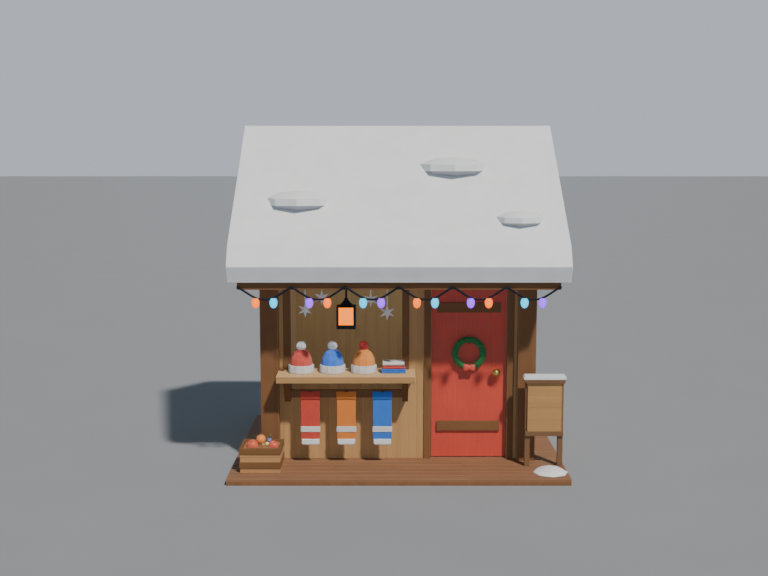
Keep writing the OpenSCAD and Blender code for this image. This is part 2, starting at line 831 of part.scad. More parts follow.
// Open crate with a rim band and a band round its middle
module crate() {
    half = crate_width / 2;
    top = deck_top + crate_height;
    middle_foot = deck_top + crate_middle_foot;
    bands = [[top - crate_rim_height, top], [middle_foot, middle_foot + crate_middle_height]];
    color("peru") translate([crate_middle, crate_front, 0]) difference() {
        union() {
            block([-half, 0, deck_top], [half, crate_depth, top]);
            for (band = bands)
                block([-half - crate_band, -crate_band, band[0]],
                      [half + crate_band, crate_depth + crate_band, band[1]]);
        }
        block([-half + crate_board, crate_board, deck_top + crate_board],
              [half - crate_board, crate_depth - crate_board, top + cut]);
    }
}

// Each fruit, larger all round by a clearance
module fruit(clearance) {
    for (i = [0 : len(fruit_radii) - 1])
        translate([crate_middle + fruit_places[i][0], crate_front + fruit_places[i][1],
                   crate_bed_z + fruit_heights[i]])
            sphere(fruit_radii[i] + clearance);
}

// Bed of wood wool that fills the crate, with a hollow under each fruit
module crate_bed() {
    half = crate_width / 2 - crate_board - soft_gap;
    color("peru") difference() {
        block([crate_middle - half, crate_front + crate_board + soft_gap, deck_top + crate_board],
              [crate_middle + half, crate_front + crate_depth - crate_board - soft_gap, crate_bed_z]);
        fruit(soft_gap);
    }
}

module crate_fruit() {
    color("indianred") fruit(0);
}

// Panel on the front of two legs, under a board that carries snow
module sign_stand() {
    half = sign_width / 2;
    top = deck_top + sign_height;
    rail = deck_top + sign_panel_foot;
    color("sienna") translate([sign_middle, sign_front, 0]) {
        for (x = [-half, half - sign_leg])
            translate([x, 0, deck_top]) cube([sign_leg, sign_leg, sign_height - sign_top_rail]);
        block([-half, -sign_panel_thickness - 6, rail - sign_low_rail], [half, sign_leg + 5, rail]);
        block([-half + sign_panel_inset, -sign_panel_thickness, rail - cut],
              [half - sign_panel_inset, cut, top - sign_top_rail + cut]);
        translate([0, sign_leg + 10, 0]) rotate([90, 0, 0])
            linear_extrude(sign_leg + sign_panel_thickness + 24)
                polygon([[-half, top - sign_top_rail], [half, top - sign_top_rail],
                         [half + 20, top], [-half - 20, top]]);
    }
}

module sign_snow() {
    half = sign_width / 2 + sign_snow_overhang;
    foot = deck_top + sign_height;
    slope = 14;
    outline = [[-half, foot], [half, foot], [half, foot + sign_snow_depth * 0.55],
               [half - slope, foot + sign_snow_depth], [-half + slope, foot + sign_snow_depth],
               [-half, foot + sign_snow_depth * 0.55]];
    color("white") translate([sign_middle, sign_front + sign_leg + 16, 0]) rotate([90, 0, 0])
        linear_extrude(sign_leg + sign_panel_thickness + 36) polygon(outline);
}

// Low heap of snow at the front of the deck
module deck_snow() {
    profile = [[0, 0], [heap_radius, 0], [heap_radius, heap_height * 0.1],
               [heap_radius * 0.62, heap_height * 0.76], [0, heap_height]];
    color("white") translate([heap_middle, -deck_front + heap_setback, deck_top])
        rotate_extrude($fn = 8) polygon(profile);
}

deck_frame();
deck_floor();
corner_posts();
front_wall_uprights();
front_wall_under_window();
front_wall_head();
left_wall();
right_wall();
rear_wall();
eaves_beams();
ridge_board();
rafters();
roof_boards();
fascia_boards();
window_jambs();
door_jambs();
lintels();
counter_top();
counter_brackets();
scarf_rail();
red_scarf();
orange_scarf();
blue_scarf();
red_hat();
blue_hat();
orange_hat();
folded_textiles();
door_leaf();
door_battens();
door_knob();
door_straps();
hinge_pintles();
door_wreath();
roof_snow_front();
roof_snow_rear();
snow_lumps();
light_cord();
light_bulbs();
cord_hooks();
lantern_frame();
lantern_glass();
hanging_stars();
crate();
crate_bed();
crate_fruit();
sign_stand();
sign_snow();
deck_snow();
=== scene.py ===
import math
import random
import bmesh
import bpy
from mathutils import Matrix, Vector, noise


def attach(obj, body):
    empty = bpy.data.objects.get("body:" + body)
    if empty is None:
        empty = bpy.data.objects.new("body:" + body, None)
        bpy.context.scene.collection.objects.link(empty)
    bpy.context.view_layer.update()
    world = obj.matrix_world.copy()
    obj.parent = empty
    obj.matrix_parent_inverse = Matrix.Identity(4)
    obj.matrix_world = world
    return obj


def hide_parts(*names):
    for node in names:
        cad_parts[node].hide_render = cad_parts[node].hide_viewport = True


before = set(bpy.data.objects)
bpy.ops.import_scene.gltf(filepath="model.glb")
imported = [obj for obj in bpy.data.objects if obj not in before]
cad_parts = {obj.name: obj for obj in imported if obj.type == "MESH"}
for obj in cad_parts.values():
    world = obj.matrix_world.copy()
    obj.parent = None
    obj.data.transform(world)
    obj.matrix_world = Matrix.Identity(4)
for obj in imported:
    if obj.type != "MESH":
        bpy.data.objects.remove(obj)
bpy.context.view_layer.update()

scene = bpy.context.scene
TAU = math.tau
GOLDEN_ANGLE = 2.399963

# Camera

camera = bpy.data.objects.new("camera", bpy.data.cameras.new("camera"))
scene.collection.objects.link(camera)
camera.location = (-0.172, -13.84, 3.826)
camera.rotation_euler = (math.radians(82.76), 0, 0)
camera.data.lens = 50
camera.data.sensor_width = 36
camera.data.clip_end = 200
scene.camera = camera

# Sizes of the hut, in metres, as the source has them

DECK_X, DECK_FRONT, DECK_REAR, BEARER_Z, DECK_Z, BEARER_PITCH = 2.0, -1.885, 1.140, 0.050, 0.080, 0.394
POST_IN, WALL_HEAD = 1.450, 2.580
WALL_FRONT, WALL_BACK, SIDE_IN, SIDE_OUT = -1.030, -0.920, 1.400, 1.510
WINDOW, DOORWAY, SILL, OPENING_TOP = (-1.3985, 0.1345), (0.3165, 1.4135), 1.114, 2.285
EAVES_Z, SLOPE, HALF_DEPTH = 2.720, math.radians(38.35), 1.140
RAFTER_TOP, SNOW_BED, SNOW_TOP, SEAT_GAP = 0.100, 0.125, 0.430, 0.0001
ROOF_BOARD_X, ROOF_BOARD_FOOT, ROOF_BOARD_TOP = 1.870, 1.766, 0.005
RIDGE_HALF, RIDGE_DEPTH = 0.025, 0.220
COUNTER_Z, SOFT_GAP = 1.197, 0.0003
DOOR_X, LEAF_LEFT, LEAF_RIGHT, LEAF_FRONT, LEAF_FOOT, LEAF_TOP = 0.865, 0.4095, 1.3205, -0.980, 0.090, 2.192
WREATH, WREATH_RADIUS, WREATH_REACH = Vector((DOOR_X, -1.0213, 1.395)), 0.170, 0.041
SCARF_X, SCARF_BACK, SCARF_TOP = (-1.05775, -0.62475, -0.19175), -1.2903, 0.990
HAT_Y, HAT_X = -1.195, (-1.169, -0.792, -0.415)


def roof_z(y, lift):
    """Height of the roof's slope at a depth, lifted square to the slope."""
    return EAVES_Z + (HALF_DEPTH - abs(y)) * math.tan(SLOPE) + lift / math.cos(SLOPE)


def spread(low, high, count):
    """Edges of a number of boards of the same width."""
    return [low + (high - low) * i / count for i in range(count + 1)]


def placed(obj, surface, body="hut"):
    """Puts a new object in the scene, with its material and the body it rides on."""
    scene.collection.objects.link(obj)
    for material in surface if isinstance(surface, (list, tuple)) else [surface]:
        obj.data.materials.append(material)
    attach(obj, body)
    return obj


# Curves

def curve_point(a, b, c, d, t):
    return 0.5 * (2 * b + (c - a) * t + (2 * a - 5 * b + 4 * c - d) * t * t + (3 * b - a - 3 * c + d) * t ** 3)


def smooth_line(route, steps):
    """Points on a smooth curve through the points of a route."""
    line = []
    last = len(route) - 1
    for i in range(last):
        a, b, c, d = route[max(0, i - 1)], route[i], route[i + 1], route[min(last, i + 2)]
        line += [curve_point(a, b, c, d, step / steps) for step in range(steps)]
    return line + [route[last]]


def length_of(line):
    return sum((b - a).length for a, b in zip(line, line[1:]))


def direction_at(line, i):
    return line[min(len(line) - 1, i + 1)] - line[max(0, i - 1)]


def curve_piece(name, lines, radius, surface):
    """Round rods along lines of points."""
    data = bpy.data.curves.new(name, "CURVE")
    data.dimensions = "3D"
    data.bevel_depth = radius
    data.bevel_resolution = 2
    data.use_fill_caps = True
    for line in lines:
        spline = data.splines.new("POLY")
        spline.points.add(len(line) - 1)
        for point, place in zip(spline.points, line):
            point.co = (*place, 1)
    return placed(bpy.data.objects.new(name, data), surface)


# Materials

class Field:
    """Number that varies over a surface. A sum or product with one becomes a node."""

    def __init__(self, nodes, socket):
        self.nodes, self.socket = nodes, socket

    def __add__(self, other):
        return self.nodes.calc("ADD", self, other)

    def __sub__(self, other):
        return self.nodes.calc("SUBTRACT", self, other)

    def __rsub__(self, other):
        return self.nodes.calc("SUBTRACT", other, self)

    def __mul__(self, other):
        return self.nodes.calc("MULTIPLY", self, other)

    def __truediv__(self, other):
        return self.nodes.calc("DIVIDE", self, other)

    def stretch(self, low, high, new_low=0.0, new_high=1.0):
        return self.nodes.field("MapRange", {"Value": self, "From Min": low, "From Max": high,
                                             "To Min": new_low, "To Max": new_high}, "Result")


class Nodes:
    """One material and the nodes that give it its colour, roughness and bump."""

    def __init__(self, name, **constants):
        self.material = bpy.data.materials.new(name)
        self.material.use_nodes = True
        self.tree = self.material.node_tree
        self.shader = self.tree.nodes["Principled BSDF"]
        self.place = self.add("TexCoord").outputs["Object"]
        for socket, value in constants.items():
            self.shader.inputs[socket.replace("_", " ")].default_value = value

    def add(self, kind, inputs=(), **settings):
        node = self.tree.nodes.new("ShaderNode" + kind)
        for key, value in settings.items():
            setattr(node, key, value)
        for key, value in dict(inputs).items():
            self.join(value, node.inputs[key])
        return node

    def join(self, value, socket):
        value = value.socket if isinstance(value, Field) else value
        if isinstance(value, bpy.types.NodeSocket):
            self.tree.links.new(value, socket)
        else:
            socket.default_value = value

    def field(self, kind, inputs, output, **settings):
        return Field(self, self.add(kind, inputs, **settings).outputs[output])

    def calc(self, operation, *values):
        return self.field("Math", dict(enumerate(values)), 0, operation=operation)

    def vector(self, operation, *values):
        return self.add("VectorMath", dict(enumerate(values)), operation=operation).outputs[0]

    def scaled(self, scale):
        return self.vector("MULTIPLY", self.place, scale)

    def noise(self, vector, scale, detail=2.0, rough=0.5):
        inputs = {"Vector": vector, "Scale": scale, "Detail": detail, "Roughness": rough}
        return self.field("TexNoise", inputs, "Fac")

    def cells(self, vector, scale):
        return self.field("TexVoronoi", {"Vector": vector, "Scale": scale}, "Distance")

    def parts(self, vector, axes):
        node = self.add("SeparateXYZ", {"Vector": vector})
        return [Field(self, node.outputs[axis]) for axis in axes]

    def upward(self):
        return self.parts(self.add("NewGeometry").outputs["Normal"], "Z")[0]

    def mix(self, factor, a, b):
        node = self.add("Mix", {0: factor}, data_type="RGBA", blend_type="MIX")
        for value, socket in ((a, node.inputs[6]), (b, node.inputs[7])):
            self.join(value if isinstance(value, bpy.types.NodeSocket) else (*value, 1), socket)
        return node.outputs[2]

    def finish(self, color, roughness, height=None, depth=0.001, strength=1.0):
        """Joins colour, roughness and the height of the bumps, in metres, to the shader."""
        self.join(color, self.shader.inputs["Base Color"])
        self.join(roughness, self.shader.inputs["Roughness"])
        if height is not None:
            bump = self.add("Bump", {"Height": height, "Distance": depth, "Strength": strength})
            self.join(bump.outputs["Normal"], self.shader.inputs["Normal"])
        return self.material


def tint(color, factor):
    return tuple(min(1.0, part * factor) for part in color)


def grain_place(n, grain, squeeze, sideways):
    """Number of the board, the offset it gives, and the place on the surface, squeezed along the grain."""
    board = n.field("Attribute", (), "Fac", attribute_name="board")
    offset = n.add("CombineXYZ", {"X": board * 9.1, "Y": board * sideways, "Z": board * 7.3}).outputs[0]
    along = [squeeze if axis == grain else 1 for axis in "xyz"]
    return board, offset, n.vector("ADD", n.scaled(along), offset)


edge_of = {}


def wood(name, color, grain="x", roughness=0.7, painted_top_light=0.0, knots=0.3, worn=1.3):
    """Sawn wood with its grain along one axis. The number on each board moves and tints its grain.

    A paler one of the same grain is kept for the worn edges."""
    n = Nodes(name, Specular_IOR_Level=0.22)
    if worn:
        edge_of[name] = wood(name + "_edge", tint(color, worn), grain, roughness + 0.05, painted_top_light, 0.0, 0.0)
    board, offset, place = grain_place(n, grain, 0.07, 13.7)
    rings = n.calc("SINE", n.noise(place, 3.2, 2.0, 0.45) * 34.0)
    fibres = n.noise(place, 95.0, 3.0, 0.6)
    cloud = n.noise(n.vector("ADD", n.place, offset), 1.6, 3.0)
    spots = n.cells(n.vector("MULTIPLY", place, [14.0 if axis == grain else 2.4 for axis in "xyz"]), 1.0)
    tone = rings * 0.11 + fibres * 0.5 + cloud * 0.35 + n.calc("FRACT", board * 5.37) * 0.10
    shade = n.mix(tone.stretch(0.25, 0.9), tint(color, 0.86), tint(color, 1.15))
    shade = n.mix(spots.stretch(0.0, 0.16, knots, 0.0), shade, tint(color, 0.4))
    # Faces that look upward are mixed toward a pale tan: painted light on the tops.
    if painted_top_light:
        shade = n.mix(n.upward().stretch(0.5, 0.9, 0.0, painted_top_light), shade, (0.86, 0.60, 0.30))
    return n.finish(shade, fibres.stretch(0.3, 0.7, roughness - 0.08, roughness + 0.12),
                    rings * 0.18 + fibres * 0.8, 0.0012, 0.7)


def painted(name, color, grain="z", roughness=0.5, worn=1.2):
    """Painted boards: the wood's fibres and the strokes of the brush show through the paint."""
    if worn:
        edge_of[name] = painted(name + "_edge", tint(color, worn), grain, roughness + 0.1, 0.0)
    n = Nodes(name, Specular_IOR_Level=0.3)
    place = grain_place(n, grain, 0.06, 0.0)[2]
    fibres = n.noise(place, 80.0, 3.0, 0.6)
    cloud = n.noise(n.place, 3.0, 3.0)
    brush = n.noise(place, 240.0, 1.0)
    tone = cloud * 0.6 + fibres * 0.4
    shade = n.mix(tone.stretch(0.35, 0.65), tint(color, 0.92), tint(color, 1.08))
    return n.finish(shade, cloud.stretch(0.3, 0.7, roughness - 0.06, roughness + 0.1),
                    fibres * 0.7 + brush * 0.3, 0.0008, 0.6)


def snow(name, color, underside_shade=0.0):
    """Packed snow: fine grain over a softly uneven surface, with painted shade on its downward faces."""
    n = Nodes(name)
    fine = n.noise(n.place, 260.0, 3.0, 0.7)
    drift = n.noise(n.place, 3.2, 4.0, 0.55)
    pits = n.noise(n.place, 42.0, 3.0, 0.6)
    pit_color = tuple(part * share for part, share in zip(color, (0.86, 0.90, 0.98)))
    shade = n.mix(drift.stretch(0.35, 0.65), tint(color, 0.965), tint(color, 1.02))
    shade = n.mix(pits.stretch(0.62, 0.78, 0.0, 0.35), shade, pit_color)
    # Faces that look downward are mixed toward a dark blue-grey: painted shade under the lumps' overhangs.
    if underside_shade:
        shade = n.mix(n.upward().stretch(-0.45, -0.12, underside_shade, 0.0), shade, (0.27, 0.28, 0.31))
    return n.finish(shade, fine.stretch(0.35, 0.65, 0.62, 0.9), fine * 0.3 + pits * 0.7, 0.003, 0.55)


def knit(name, color, width=0.009, rise=0.0075):
    """Stocking stitch: each stitch is a slanted pair of loops in a column. The UV map is in metres."""
    n = Nodes(name, Sheen_Weight=0.12, Sheen_Roughness=0.5, Specular_IOR_Level=0.1)
    x, y = n.parts(n.add("UVMap", uv_map="knit").outputs["UV"], "XY")
    across = n.calc("ABSOLUTE", n.calc("FRACT", x / width) - 0.5)
    loop = n.calc("ABSOLUTE", n.calc("FRACT", y / rise + across * 1.6) - 0.5)
    body = 1.0 - n.calc("POWER", loop * 2.0, 2.5)
    legs = 1.0 - n.calc("POWER", n.calc("ABSOLUTE", across * 4.0 - 1.0), 2.2)
    stitch = body * legs
    fuzz = n.noise(n.place, 620.0, 2.0, 0.7)
    patch = n.noise(n.place, 14.0, 2.0)
    # Off the loops the knit is mixed toward a darker shade of its colour: painted shade in the gaps between stitches.
    shade = n.mix(stitch.stretch(0.0, 0.6), tint(color, 0.55), tint(color, 1.06))
    shade = n.mix(patch.stretch(0.35, 0.65, 0.0, 0.25), shade, tint(color, 0.85))
    shade = n.mix(fuzz.stretch(0.5, 0.75, 0.0, 0.3), shade, tint(color, 1.25))
    return n.finish(shade, fuzz.stretch(0.3, 0.7, 0.82, 0.97), stitch + fuzz * 0.25, 0.0022, 0.9)


def yarn(name, color):
    """Loose yarn of fringes and bobbles."""
    n = Nodes(name, Sheen_Weight=0.15, Sheen_Roughness=0.5, Specular_IOR_Level=0.1)
    strands = n.noise(n.scaled((1, 1, 0.25)), 420.0, 3.0, 0.65)
    patch = n.noise(n.place, 30.0, 2.0)
    shade = n.mix(strands.stretch(0.35, 0.65), tint(color, 0.72), tint(color, 1.1))
    shade = n.mix(patch.stretch(0.4, 0.7, 0.0, 0.3), shade, tint(color, 0.86))
    return n.finish(shade, strands.stretch(0.3, 0.7, 0.85, 0.98), strands, 0.0015, 0.8)


def metal(name, color, roughness, metallic=1.0, gloss=0.5):
    """Smooth material with patches of grime."""
    n = Nodes(name, Metallic=metallic, Specular_IOR_Level=gloss)
    grime = n.noise(n.place, 22.0, 4.0, 0.6)
    fine = n.noise(n.place, 380.0, 2.0)
    shade = n.mix(grime.stretch(0.42, 0.66), color, tint(color, 0.7))
    return n.finish(shade, grime.stretch(0.35, 0.65, roughness - 0.07, roughness + 0.15), fine, 0.0004, 0.5)


def glow(name, color, strength, rim):
    """Lit glass, paler in the middle of what is seen and deeper at its rim."""
    n = Nodes(name, Roughness=0.3, Specular_IOR_Level=0.2)
    facing = n.field("LayerWeight", {"Blend": 0.45}, "Facing")
    cloud = n.noise(n.place, 26.0, 2.0)
    shade = n.mix((facing + cloud * 0.25).stretch(0.1, 1.0), color, rim)
    n.join(shade, n.shader.inputs["Emission Color"])
    n.shader.inputs["Emission Strength"].default_value = strength
    return n.finish(tint(color, 0.1) + (1,), cloud.stretch(0.3, 0.7, 0.2, 0.4), cloud, 0.0006, 0.3)


def foliage(name, color):
    n = Nodes(name, Specular_IOR_Level=0.2)
    patch = n.noise(n.place, 55.0, 2.0)
    fine = n.noise(n.place, 700.0, 1.0)
    shade = n.mix(patch.stretch(0.38, 0.62), tint(color, 0.65), tint(color, 1.35))
    return n.finish(shade, fine.stretch(0.3, 0.7, 0.45, 0.7), fine, 0.0003, 0.4)


def peel(name, color, blush, pores, roughness, pore_depth=0.0004):
    """Skin of a fruit: a second colour in soft streaks, and pores."""
    n = Nodes(name, Coat_Weight=0.1, Coat_Roughness=0.4, Specular_IOR_Level=0.3)
    streak = n.noise(n.scaled((1, 1, 0.4)), 34.0, 3.0)
    dots = n.cells(n.place, pores)
    shade = n.mix(streak.stretch(0.42, 0.66), color, blush)
    shade = n.mix(dots.stretch(0.0, 0.22, 0.5, 0.0), shade, tint(blush, 1.2))
    return n.finish(shade, streak.stretch(0.3, 0.7, roughness - 0.05, roughness + 0.1), dots, pore_depth, 0.5)


DARK, MID, TAN = (0.193, 0.088, 0.036), (0.252, 0.125, 0.064), (0.452, 0.257, 0.108)
SNOW_COLOR = (0.74, 0.745, 0.75)
RED = (0.70, 0.088, 0.062)

dark_x, dark_y, dark_z = (wood("dark_timber_" + axis, DARK, axis) for axis in "xyz")
deck_wood = wood("deck_boards", MID)
bearer_wood = wood("deck_bearers", (0.222, 0.100, 0.042), "y")
# The brackets' timber is a darker copy of the dark timber: painted shade from the counter above them.
bracket_wood_shaded = wood("bracket_timber_painted_shade", (0.145, 0.058, 0.018), "y")
wall_wood = wood("wall_boards", TAN, "z", knots=0.4)
roof_wood = wood("roof_boards", DARK)
# The counter's top is painted paler than its front: painted light.
counter_wood = wood("counter_board", (0.410, 0.232, 0.098), roughness=0.65, painted_top_light=0.45)
sign_wood = wood("sign_boards", (0.430, 0.232, 0.092))
sign_dark_x, sign_dark_z = (wood("sign_frame_" + axis, (0.182, 0.094, 0.046), axis) for axis in "xz")
crate_tan = wood("crate_slats", (0.466, 0.243, 0.105))
crate_dark = wood("crate_bands", (0.185, 0.088, 0.032))
twig_bark = wood("twig_bark", (0.060, 0.042, 0.022), "z", roughness=0.85)
straw = wood("wood_wool", (0.400, 0.185, 0.090), roughness=0.8)
door_paint = painted("door_paint", (0.540, 0.064, 0.040))
ribbon_red = painted("ribbon", (0.62, 0.080, 0.056), roughness=0.6)
# The lumps' snow gets painted shade on its downward faces.
snow_white, lump_snow = snow("snow", SNOW_COLOR), snow("lump_snow", SNOW_COLOR, 0.85)
WOOL = {"red": RED, "orange": (0.85, 0.262, 0.058), "blue": (0.056, 0.218, 0.745), "white": (0.80, 0.77, 0.76)}
# The hats' knit is a paler copy of the scarves' yarn: painted light on the hats.
HAT_WOOL_PAINTED_LIGHT = {"red": (0.74, 0.115, 0.083), "blue": (0.077, 0.240, 0.900), "orange": (0.95, 0.335, 0.082)}
knits = {color: knit(color + "_knit", wool) for color, wool in WOOL.items()}
lit_hat_knits = {color: knit(color + "_hat_knit", wool) for color, wool in HAT_WOOL_PAINTED_LIGHT.items()}
white_yarn, red_yarn = yarn("white_yarn", (0.80, 0.79, 0.79)), yarn("red_yarn", tint(RED, 0.85))
dark_yarn = yarn("dark_yarn", (0.030, 0.020, 0.016))
iron = metal("black_iron", (0.020, 0.022, 0.030), 0.6, 0.3, gloss=0.3)
brass = metal("brass", (0.60, 0.43, 0.12), 0.38, 0.85)
star_metal = metal("star_metal", (0.78, 0.75, 0.74), 0.6, 0.0)
cable = metal("cable", (0.009, 0.011, 0.022), 0.7, 0.0, gloss=0.2)
needle_green, leaf_green = foliage("fir_needles", (0.028, 0.170, 0.052)), foliage("leaf", (0.10, 0.17, 0.05))
apple_peel = peel("apple_skin", (0.62, 0.095, 0.060), (0.66, 0.17, 0.08), 240.0, 0.45)
orange_peel = peel("orange_skin", (0.80, 0.27, 0.085), (0.74, 0.22, 0.06), 420.0, 0.5, 0.0012)
lime_peel = peel("lime_skin", (0.80, 0.66, 0.22), (0.86, 0.62, 0.24), 320.0, 0.45)
green_peel = peel("green_skin", (0.30, 0.30, 0.09), (0.40, 0.34, 0.10), 300.0, 0.45)
plum_peel = peel("plum_skin", (0.11, 0.18, 0.46), (0.24, 0.24, 0.46), 200.0, 0.5)
candle_wax = glow("candle", (1.0, 0.40, 0.12), 3.0, (1.0, 0.30, 0.08))
lantern_pane = glow("lantern_pane", (1.0, 0.22, 0.010), 2.15, (1.0, 0.20, 0.006))
bulb_glass = {"orange": glow("bulb_orange", (1.0, 0.19, 0.012), 2.3, (0.8, 0.10, 0.004)),
              "cyan": glow("bulb_cyan", (0.010, 0.64, 0.96), 2.0, (0.004, 0.40, 0.70)),
              "violet": glow("bulb_violet", (0.30, 0.06, 1.0), 2.3, (0.17, 0.03, 0.72))}

# Cord of the light string

SWAGS = 6
SWAG_WIDTH = 3.692 / SWAGS
SWAG = [(0, 2.300), (0.085, 2.270), (0.333, 2.176), (0.5, 2.160), (0.667, 2.176), (0.915, 2.270)]
CORD_Y = -1.7623
CORD_DIAMETER = 0.024


def swag_point(swag, share, height):
    return Vector(((swag - SWAGS / 2 + share) * SWAG_WIDTH, CORD_Y, height))


cord_route = [swag_point(swag, share, height) for swag in range(SWAGS) for share, height in SWAG]
cord_route.append(swag_point(SWAGS, 0, SWAG[0][1]))
cord_line = smooth_line(cord_route, 4)
cord_length = length_of(cord_line)
cord = curve_piece("string_cable", [cord_line], CORD_DIAMETER / 2, cable)
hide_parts("light_cord")

# Meshes


class Boards:
    """Boards of one piece. Each face carries the number of its board, for the grain."""

    def __init__(self):
        self.points, self.faces, self.marks, self.kinds = [], [], [], []
        self.mark = 1

    def prism(self, base, top, kind=0):
        """Board between two outlines with the same number of corners."""
        start, count = len(self.points), len(base)
        self.points += [*base, *top]
        self.faces.append([start + i for i in range(count)])
        self.faces.append([start + count + i for i in reversed(range(count))])
        for i in range(count):
            j = (i + 1) % count
            self.faces.append([start + i, start + count + i, start + count + j, start + j])
        self.marks += [self.mark] * (count + 2)
        self.kinds += [kind] * (count + 2)
        self.mark += 1

    def along_x(self, left, right, outline, kind=0):
        """Board from left to right with an outline in Y and Z."""
        self.prism([(left, y, z) for y, z in outline], [(right, y, z) for y, z in outline], kind)

    def box(self, low, high, kind=0):
        (a, b, c), (d, e, f) = low, high
        outline = ((a, b), (d, b), (d, e), (a, e))
        self.prism([(x, y, c) for x, y in outline], [(x, y, f) for x, y in outline], kind)

    def piece(self, name, surface, slot, nodes=(), body="hut", bevel=0.004):
        mesh = bpy.data.meshes.new(name)
        mesh.from_pydata(self.points, [], self.faces)
        tones = mesh.attributes.new("board", "FLOAT", "FACE")
        for item, mark in zip(tones.data, self.marks):
            item.value = mark * 0.6180339 % 1.0 * 10
        for polygon, kind in zip(mesh.polygons, self.kinds):
            polygon.material_index = kind
        outward(mesh)
        obj = placed(bpy.data.objects.new(name, mesh), surface, body)
        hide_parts(*nodes)
        bevelled(obj, bevel)


def outward(mesh):
    """Turns every face of a closed mesh outward."""
    shape = bmesh.new()
    shape.from_mesh(mesh)
    bmesh.ops.recalc_face_normals(shape, faces=shape.faces)
    shape.to_mesh(mesh)
    shape.free()


def bevelled(obj, width, segments=2, weld=False, angle=30):
    """Rounds the edges. Where the surface has a worn one beside it, the edges get that one."""
    if weld:
        obj.modifiers.new("weld", "WELD").merge_threshold = 0.00002
    bevel = obj.modifiers.new("bevel", "BEVEL")
    bevel.width = width
    bevel.segments = segments
    bevel.limit_method = "ANGLE"
    bevel.angle_limit = math.radians(angle)
    edge = edge_of.get(obj.data.materials[0].name) if len(obj.data.materials) == 1 else None
    if edge:
        obj.data.materials.append(edge)
        bevel.material = 1
    for polygon in obj.data.polygons:
        polygon.use_smooth = True
    obj.modifiers.new("normals", "WEIGHTED_NORMAL").keep_sharp = False


def mesh_piece(name, shape, surface, nodes=(), body="hut", smooth=True):
    """Piece from the points and faces of a closed shape, in place of the nodes that it names."""
    mesh = bpy.data.meshes.new(name)
    mesh.from_pydata([tuple(point) for point in shape[0]], [], shape[1])
    outward(mesh)
    for polygon in mesh.polygons:
        polygon.use_smooth = smooth
    obj = placed(bpy.data.objects.new(name, mesh), surface, body)
    if nodes:
        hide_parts(*nodes)
    return obj


def grid_faces(rows, columns, wrap_rows=False, wrap_columns=False, start=0):
    """Quads of a grid of points, row by row."""
    faces = []
    for i in range(rows if wrap_rows else rows - 1):
        a, b = start + i * columns, start + (i + 1) % rows * columns
        for j in range(columns if wrap_columns else columns - 1):
            k = (j + 1) % columns
            faces.append([a + j, a + k, b + k, b + j])
    return faces


def sheet_faces(rows, columns):
    """Faces of a closed sheet: two grids of points, one after the other, and the rim between them."""
    back, last = rows * columns, (rows - 1) * columns
    rim = [*range(columns), *range(2 * columns - 1, back, columns), *range(back - 2, last - 1, -1),
           *range(last - columns, 0, -columns)]
    sides = [[a, b, back + b, back + a] for a, b in zip(rim, rim[1:] + rim[:1])]
    return grid_faces(rows, columns) + grid_faces(rows, columns, start=back) + sides


def tube(rings):
    """Closed tube through rings of points."""
    sides, last = len(rings[0]), (len(rings) - 1) * len(rings[0])
    faces = grid_faces(len(rings), sides, wrap_columns=True)
    return [point for ring in rings for point in ring], faces + [[*range(sides)], [*range(last, last + sides)]]


def spike(rings, tip):
    """Tube that closes in a point."""
    points, faces = tube(rings)
    end = faces.pop()
    return points + [tip], faces + [[a, b, len(points)] for a, b in zip(end, end[1:] + end[:1])]


def lathe(profile, steps, centre=(0, 0, 0), radius_at=None):
    """Profile of (radius, height) turned round the Z axis, closed at both ends."""
    rings = []
    for i, (radius, height) in enumerate(profile):
        ring = []
        for angle in spread(0, TAU, steps)[:-1]:
            reach = radius_at(i, angle, radius) if radius_at else radius
            ring.append((centre[0] + reach * math.cos(angle), centre[1] + reach * math.sin(angle),
                         centre[2] + height))
        rings.append(ring)
    return tube(rings)


def joined(shapes):
    """One closed shape from several."""
    points, faces = [], []
    for more_points, more_faces in shapes:
        start = len(points)
        points += more_points
        faces += [[start + i for i in face] for face in more_faces]
    return points, faces


# CAD nodes that keep their shape, with their material and the rounding of their edges

KEPT = {
    "deck_frame": (bearer_wood, 0.004), "corner_posts": (dark_z, 0.006), "eaves_beams": (dark_x, 0.005),
    "ridge_board": (dark_x, 0.004), "rafters": (dark_y, 0.004), "fascia_boards": (dark_x, 0.004),
    "window_jambs": (dark_z, 0.005), "door_jambs": (dark_z, 0.005), "lintels": (dark_x, 0.005),
    "counter_top": (counter_wood, 0.006), "counter_brackets": (bracket_wood_shaded, 0.005),
    "scarf_rail": (dark_x, 0.003), "door_battens": (dark_x, 0.005), "door_knob": (brass, 0.002),
    "door_straps": (iron, 0.0015), "hinge_pintles": (iron, 0.0015), "cord_hooks": (iron, 0.0015),
    "lantern_frame": (iron, 0.0025),
    "snow_lumps": (lump_snow, 0.004), "sign_snow": (snow_white, 0.007), "deck_snow": (snow_white, 0.005),
}
for node, (surface, width) in KEPT.items():
    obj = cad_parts[node]
    obj.data.materials.clear()
    obj.data.materials.append(surface)
    bevelled(obj, width, weld=True)

# Deck floor

DECK_ROWS, END_GAP, ROW_GAP = 21, 0.0008, 0.0012
deck = Boards()
deck_edges = spread(DECK_FRONT, DECK_REAR, DECK_ROWS)
for row, (low, high) in enumerate(zip(deck_edges, deck_edges[1:])):
    ends = [-DECK_X, (-2, 2, 0)[row % 3] * BEARER_PITCH, DECK_X] if row else [-DECK_X, DECK_X]
    for left, right in zip(ends, ends[1:]):
        deck.box((left + (END_GAP if left > -DECK_X else 0), low + (ROW_GAP if row else 0), BEARER_Z),
                 (right - (END_GAP if right < DECK_X else 0), high - (ROW_GAP if row < DECK_ROWS - 1 else 0), DECK_Z))
deck.piece("deck_boards", deck_wood, "deck_timber", ["deck_floor"], bevel=0.003)

# Walls of upright boards

